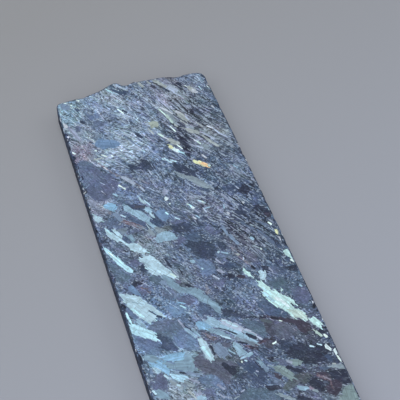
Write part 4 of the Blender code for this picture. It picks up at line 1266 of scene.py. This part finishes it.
def grains(tree, place, lie, turn=None):
    """Long thin cells that lie one way, as three random numbers on each cell."""
    angle, length, width = lie
    back = maths(tree, "MULTIPLY", turn, -1.0) if turn else -math.radians(angle)
    turned = {"Vector": place, "Angle": back}
    lain = add_node(tree, "VectorRotate", turned, rotation_type="Z_AXIS").outputs[0]
    sized = vectors(tree, "MULTIPLY", lain, (1 / length, 1 / width, 1 / width))
    return add_node(tree, "TexVoronoi", {"Vector": sized, "Scale": 1.0, "Randomness": 1.0}).outputs["Color"]


def felt_tone(tree, in_mm, bent, matrix, lines):
    """How bright the felt is: streaks, deepest where needles are thick, on wide domains and fine grains."""
    ragged = scaled(tree, noise_of(tree, in_mm, RAGGED_NOISE, "Color"), RAGGED_REACH)
    domain = parts(tree, grains(tree, vectors(tree, "ADD", bent, ragged), DOMAINS))[0]
    fine = parts(tree, grains(tree, bent, FINE_GRAINS))[0]
    off_middle = maths(tree, "SUBTRACT", parts(tree, matrix)[0], 0.5)
    streaks = maths(tree, "MULTIPLY_ADD", off_middle, ranged(tree, lines, STREAK_DEPTHS), 1.0)
    return product(tree, streaks, ranged(tree, domain, DOMAIN_TONES), ranged(tree, fine, FINE_TONES))


def crystal_tone(tree, in_mm, run, offset):
    """How bright a crystal is: fibres along it, at a place of its own in their pattern."""
    shift = add_node(tree, "CombineXYZ", {"X": offset, "Y": offset, "Z": offset}).outputs[0]
    fibres = grains(tree, vectors(tree, "ADD", in_mm, shift), CRYSTAL_FIBRES, run)
    return ranged(tree, parts(tree, fibres)[0], FIBRE_TONES)


def about_one(tree, colour, spread):
    """A random colour drawn in to a narrow spread about 1."""
    narrow = vectors(tree, "MULTIPLY", colour, (spread,) * 3)
    return vectors(tree, "ADD", narrow, (1 - spread / 2,) * 3)


def felt_hue(tree, in_mm, matrix):
    """The felt's hue, moved a little from grain to grain and in soft clouds."""
    clouds = about_one(tree, noise_of(tree, in_mm, HUE_NOISE, "Color"), HUE_CLOUDS)
    return vectors(tree, "MULTIPLY", about_one(tree, matrix, HUE_SPREAD), clouds)


def with_rare_grains(tree, colour, bent, lines, shown, polish):
    """The colour with the scattered dark grains, and on the polished face the pale ones, which are partly
    painted flash.
    """
    dark = parts(tree, grains(tree, bent, DARK_GRAINS))[1]
    darkness = product(tree, ranged(tree, dark, DARK_STRENGTH, RAREST), shown)
    colour = blended(tree, "MIX", darkness, colour, DARK_COLOUR)
    pale = parts(tree, grains(tree, bent, PALE_GRAINS))[2]
    dots = parts(tree, grains(tree, bent, PALE_DOTS))[1]
    paleness = product(tree, ranged(tree, pale, PALE_STRENGTH, RAREST), lines)
    paleness = maths(tree, "MAXIMUM", paleness, ranged(tree, dots, DOT_STRENGTH, RARE))
    return blended(tree, "MIX", product(tree, paleness, shown, polish), colour, PALE_COLOUR)


def rock_material():
    """The rock: felt and crystals on the polished face, dull on the back and rough on the wall."""
    material = bpy.data.materials.new("rock_stone")
    material.use_nodes = True
    tree = material.node_tree
    shader = tree.nodes["Principled BSDF"]
    run, offset, is_crystal = parts(tree, attribute(tree, "fibre", "Vector"))
    texture, polish, wall = parts(tree, attribute(tree, "surface", "Vector"))
    lines = attribute(tree, "needled", "Fac")
    is_felt = maths(tree, "SUBTRACT", 1.0, is_crystal)

    in_mm = scaled(tree, add_node(tree, "TexCoord").outputs["Object"], 1 / MM)
    bend = scaled(tree, noise_of(tree, in_mm, BEND_NOISE, "Color"), BEND_REACH)
    bent = vectors(tree, "ADD", in_mm, bend)
    matrix = grains(tree, bent, MATRIX_GRAINS)
    mottle = noise_of(tree, in_mm, MOTTLE_NOISE)

    felt_light = product(tree, felt_tone(tree, in_mm, bent, matrix, lines),
                         ranged(tree, mottle, FELT_MOTTLES, MOTTLE_MIDDLE), is_felt)
    own_light = product(tree, crystal_tone(tree, in_mm, run, offset),
                        ranged(tree, mottle, CRYSTAL_MOTTLES, MOTTLE_MIDDLE), is_crystal)
    swing = maths(tree, "SUBTRACT", maths(tree, "ADD", felt_light, own_light), 1.0)
    shade = maths(tree, "MULTIPLY_ADD", swing, texture, 1.0)
    grey = add_node(tree, "CombineColor", {0: shade, 1: shade, 2: shade}).outputs[0]

    is_loose = product(tree, maths(tree, "GREATER_THAN", texture, FELT_ABOVE),
                       maths(tree, "SUBTRACT", 1.0, wall))
    tint = blended(tree, "MULTIPLY", is_loose, attribute(tree, "tint"), attribute(tree, "ground"))
    colour = blended(tree, "MULTIPLY", 1.0, tint, grey)
    colour = blended(tree, "MULTIPLY", is_felt, colour, felt_hue(tree, in_mm, matrix))
    shown = product(tree, is_felt, ranged(tree, texture, RARE_GRAINS_SHOWN, (BED_TEXTURE, FELT_TEXTURE)))
    colour = with_rare_grains(tree, colour, bent, lines, shown, polish)
    tree.links.new(colour, shader.inputs["Base Color"])

    wall_roughness = maths(tree, "MULTIPLY", wall, WALL_ROUGHNESS)
    roughness = maths(tree, "MAXIMUM", ranged(tree, polish, BACK_TO_POLISHED), wall_roughness)
    tree.links.new(roughness, shader.inputs["Roughness"])
    tree.links.new(maths(tree, "MULTIPLY", polish, COAT), shader.inputs["Coat Weight"])
    shader.inputs["Coat Roughness"].default_value = COAT_ROUGHNESS
    shader.inputs["Specular IOR Level"].default_value = SPECULAR
    return material


def add_object(name, data, material=None):
    """A new object in the scene with its data, and its material if it has one."""
    if material:
        data.materials.append(material)
    added = bpy.data.objects.new(name, data)
    bpy.context.scene.collection.objects.link(added)
    return added


def add_stone():
    """The slab's visible piece, in place of its plain solid."""
    mesh = stone_mesh()
    data = bpy.data.meshes.new("slab_stone")
    mesh.to_mesh(data)
    mesh.free()
    stone = add_object("slab_stone", data, rock_material())
    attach(stone, "root")
    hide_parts("slab")


# The room, in metres: a floor whose colour goes from far to near over a stretch, along a slanting line.
# Toward the near right it is lighter and bluer: painted light on the floor
FLOOR_SIZE = 6.0
FLOOR_FAR = (0.312, 0.32, 0.338, 1.0)
FLOOR_NEAR_PAINTED_LIGHT = (0.40, 0.44, 0.545, 1.0)
PAINTED_LIGHT_FADE = (-0.12, 0.2)
PAINTED_LIGHT_SLANT = 0.3
FLOOR_ROUGHNESS = 0.9
FLOOR_SPECULAR = 0.1

# Soft light: the room's own, then each panel's name, place, size and power
WORLD_COLOUR = (0.93, 0.96, 1.0, 1.0)
WORLD_STRENGTH = 0.22
LIGHTS = (
    ("top", (-0.2, -0.15, 1.5), 0.8, 13.0), ("left", (-1.1, -0.3, 1.2), 1.0, 4.0),
    ("near", (-0.3, -1.3, 1.1), 1.0, 4.0), ("right", (1.2, -0.2, 1.1), 1.0, 3.0),
)

# The camera: its place in millimetres, its angles in degrees, its lens in millimetres
CAMERA_PLACE = Vector((-53.3, -128.2, 256.03)) * MM
CAMERA_HEADING = 22.0
CAMERA_DIP = 57.35
CAMERA_ROLL = 2.98
LENS = 90.0
CLIP_START = 0.01


def floor_material():
    """A plain pale grey, lighter and bluer toward the near right by painted light."""
    material = bpy.data.materials.new("floor")
    material.use_nodes = True
    tree = material.node_tree
    shader = tree.nodes["Principled BSDF"]
    x, y, _ = parts(tree, add_node(tree, "TexCoord").outputs["Object"])
    across = maths(tree, "MULTIPLY", x, PAINTED_LIGHT_SLANT)
    painted_light = ranged(tree, maths(tree, "SUBTRACT", across, y), (0.0, 1.0), PAINTED_LIGHT_FADE)
    tree.links.new(blended(tree, "MIX", painted_light, FLOOR_FAR, FLOOR_NEAR_PAINTED_LIGHT), shader.inputs["Base Color"])
    shader.inputs["Roughness"].default_value = FLOOR_ROUGHNESS
    shader.inputs["Specular IOR Level"].default_value = FLOOR_SPECULAR
    return material


def add_floor():
    """A plain flat floor under the slab."""
    data = bpy.data.meshes.new("floor")
    half = FLOOR_SIZE / 2
    corners = [(-half, -half, 0), (half, -half, 0), (half, half, 0), (-half, half, 0)]
    data.from_pydata(corners, [], [(0, 1, 2, 3)])
    floor = add_object("floor", data, floor_material())


def add_lights():
    """Soft light from large panels and from the room."""
    world = bpy.data.worlds.new("room")
    world.use_nodes = True
    background = world.node_tree.nodes["Background"]
    background.inputs["Color"].default_value = WORLD_COLOUR
    background.inputs["Strength"].default_value = WORLD_STRENGTH
    bpy.context.scene.world = world
    for name, place, size, power in LIGHTS:
        data = bpy.data.lights.new(name, "AREA")
        data.size = size
        data.energy = power
        light = add_object(name, data)
        light.location = place
        light.rotation_euler = (-Vector(place)).to_track_quat("-Z", "Y").to_euler()


def add_camera():
    """The camera at the photograph's viewing angle."""
    heading, dip, roll = (math.radians(a) for a in (CAMERA_HEADING, CAMERA_DIP, CAMERA_ROLL))
    forward = Vector((math.sin(heading) * math.cos(dip), math.cos(heading) * math.cos(dip), -math.sin(dip)))
    level = Vector((math.cos(heading), -math.sin(heading), 0))
    upright = level.cross(forward)
    right = level * math.cos(roll) + upright * math.sin(roll)
    up = right.cross(forward)
    data = bpy.data.cameras.new("camera")
    data.lens = LENS
    data.clip_start = CLIP_START
    camera = add_object("camera", data)
    camera.matrix_world = Matrix((right, up, -forward)).transposed().to_4x4()
    camera.location = CAMERA_PLACE
    bpy.context.scene.camera = camera


random.seed(SEED)
add_stone()
add_floor()
add_lights()
add_camera()
bpy.context.scene.view_settings.view_transform = "Standard"
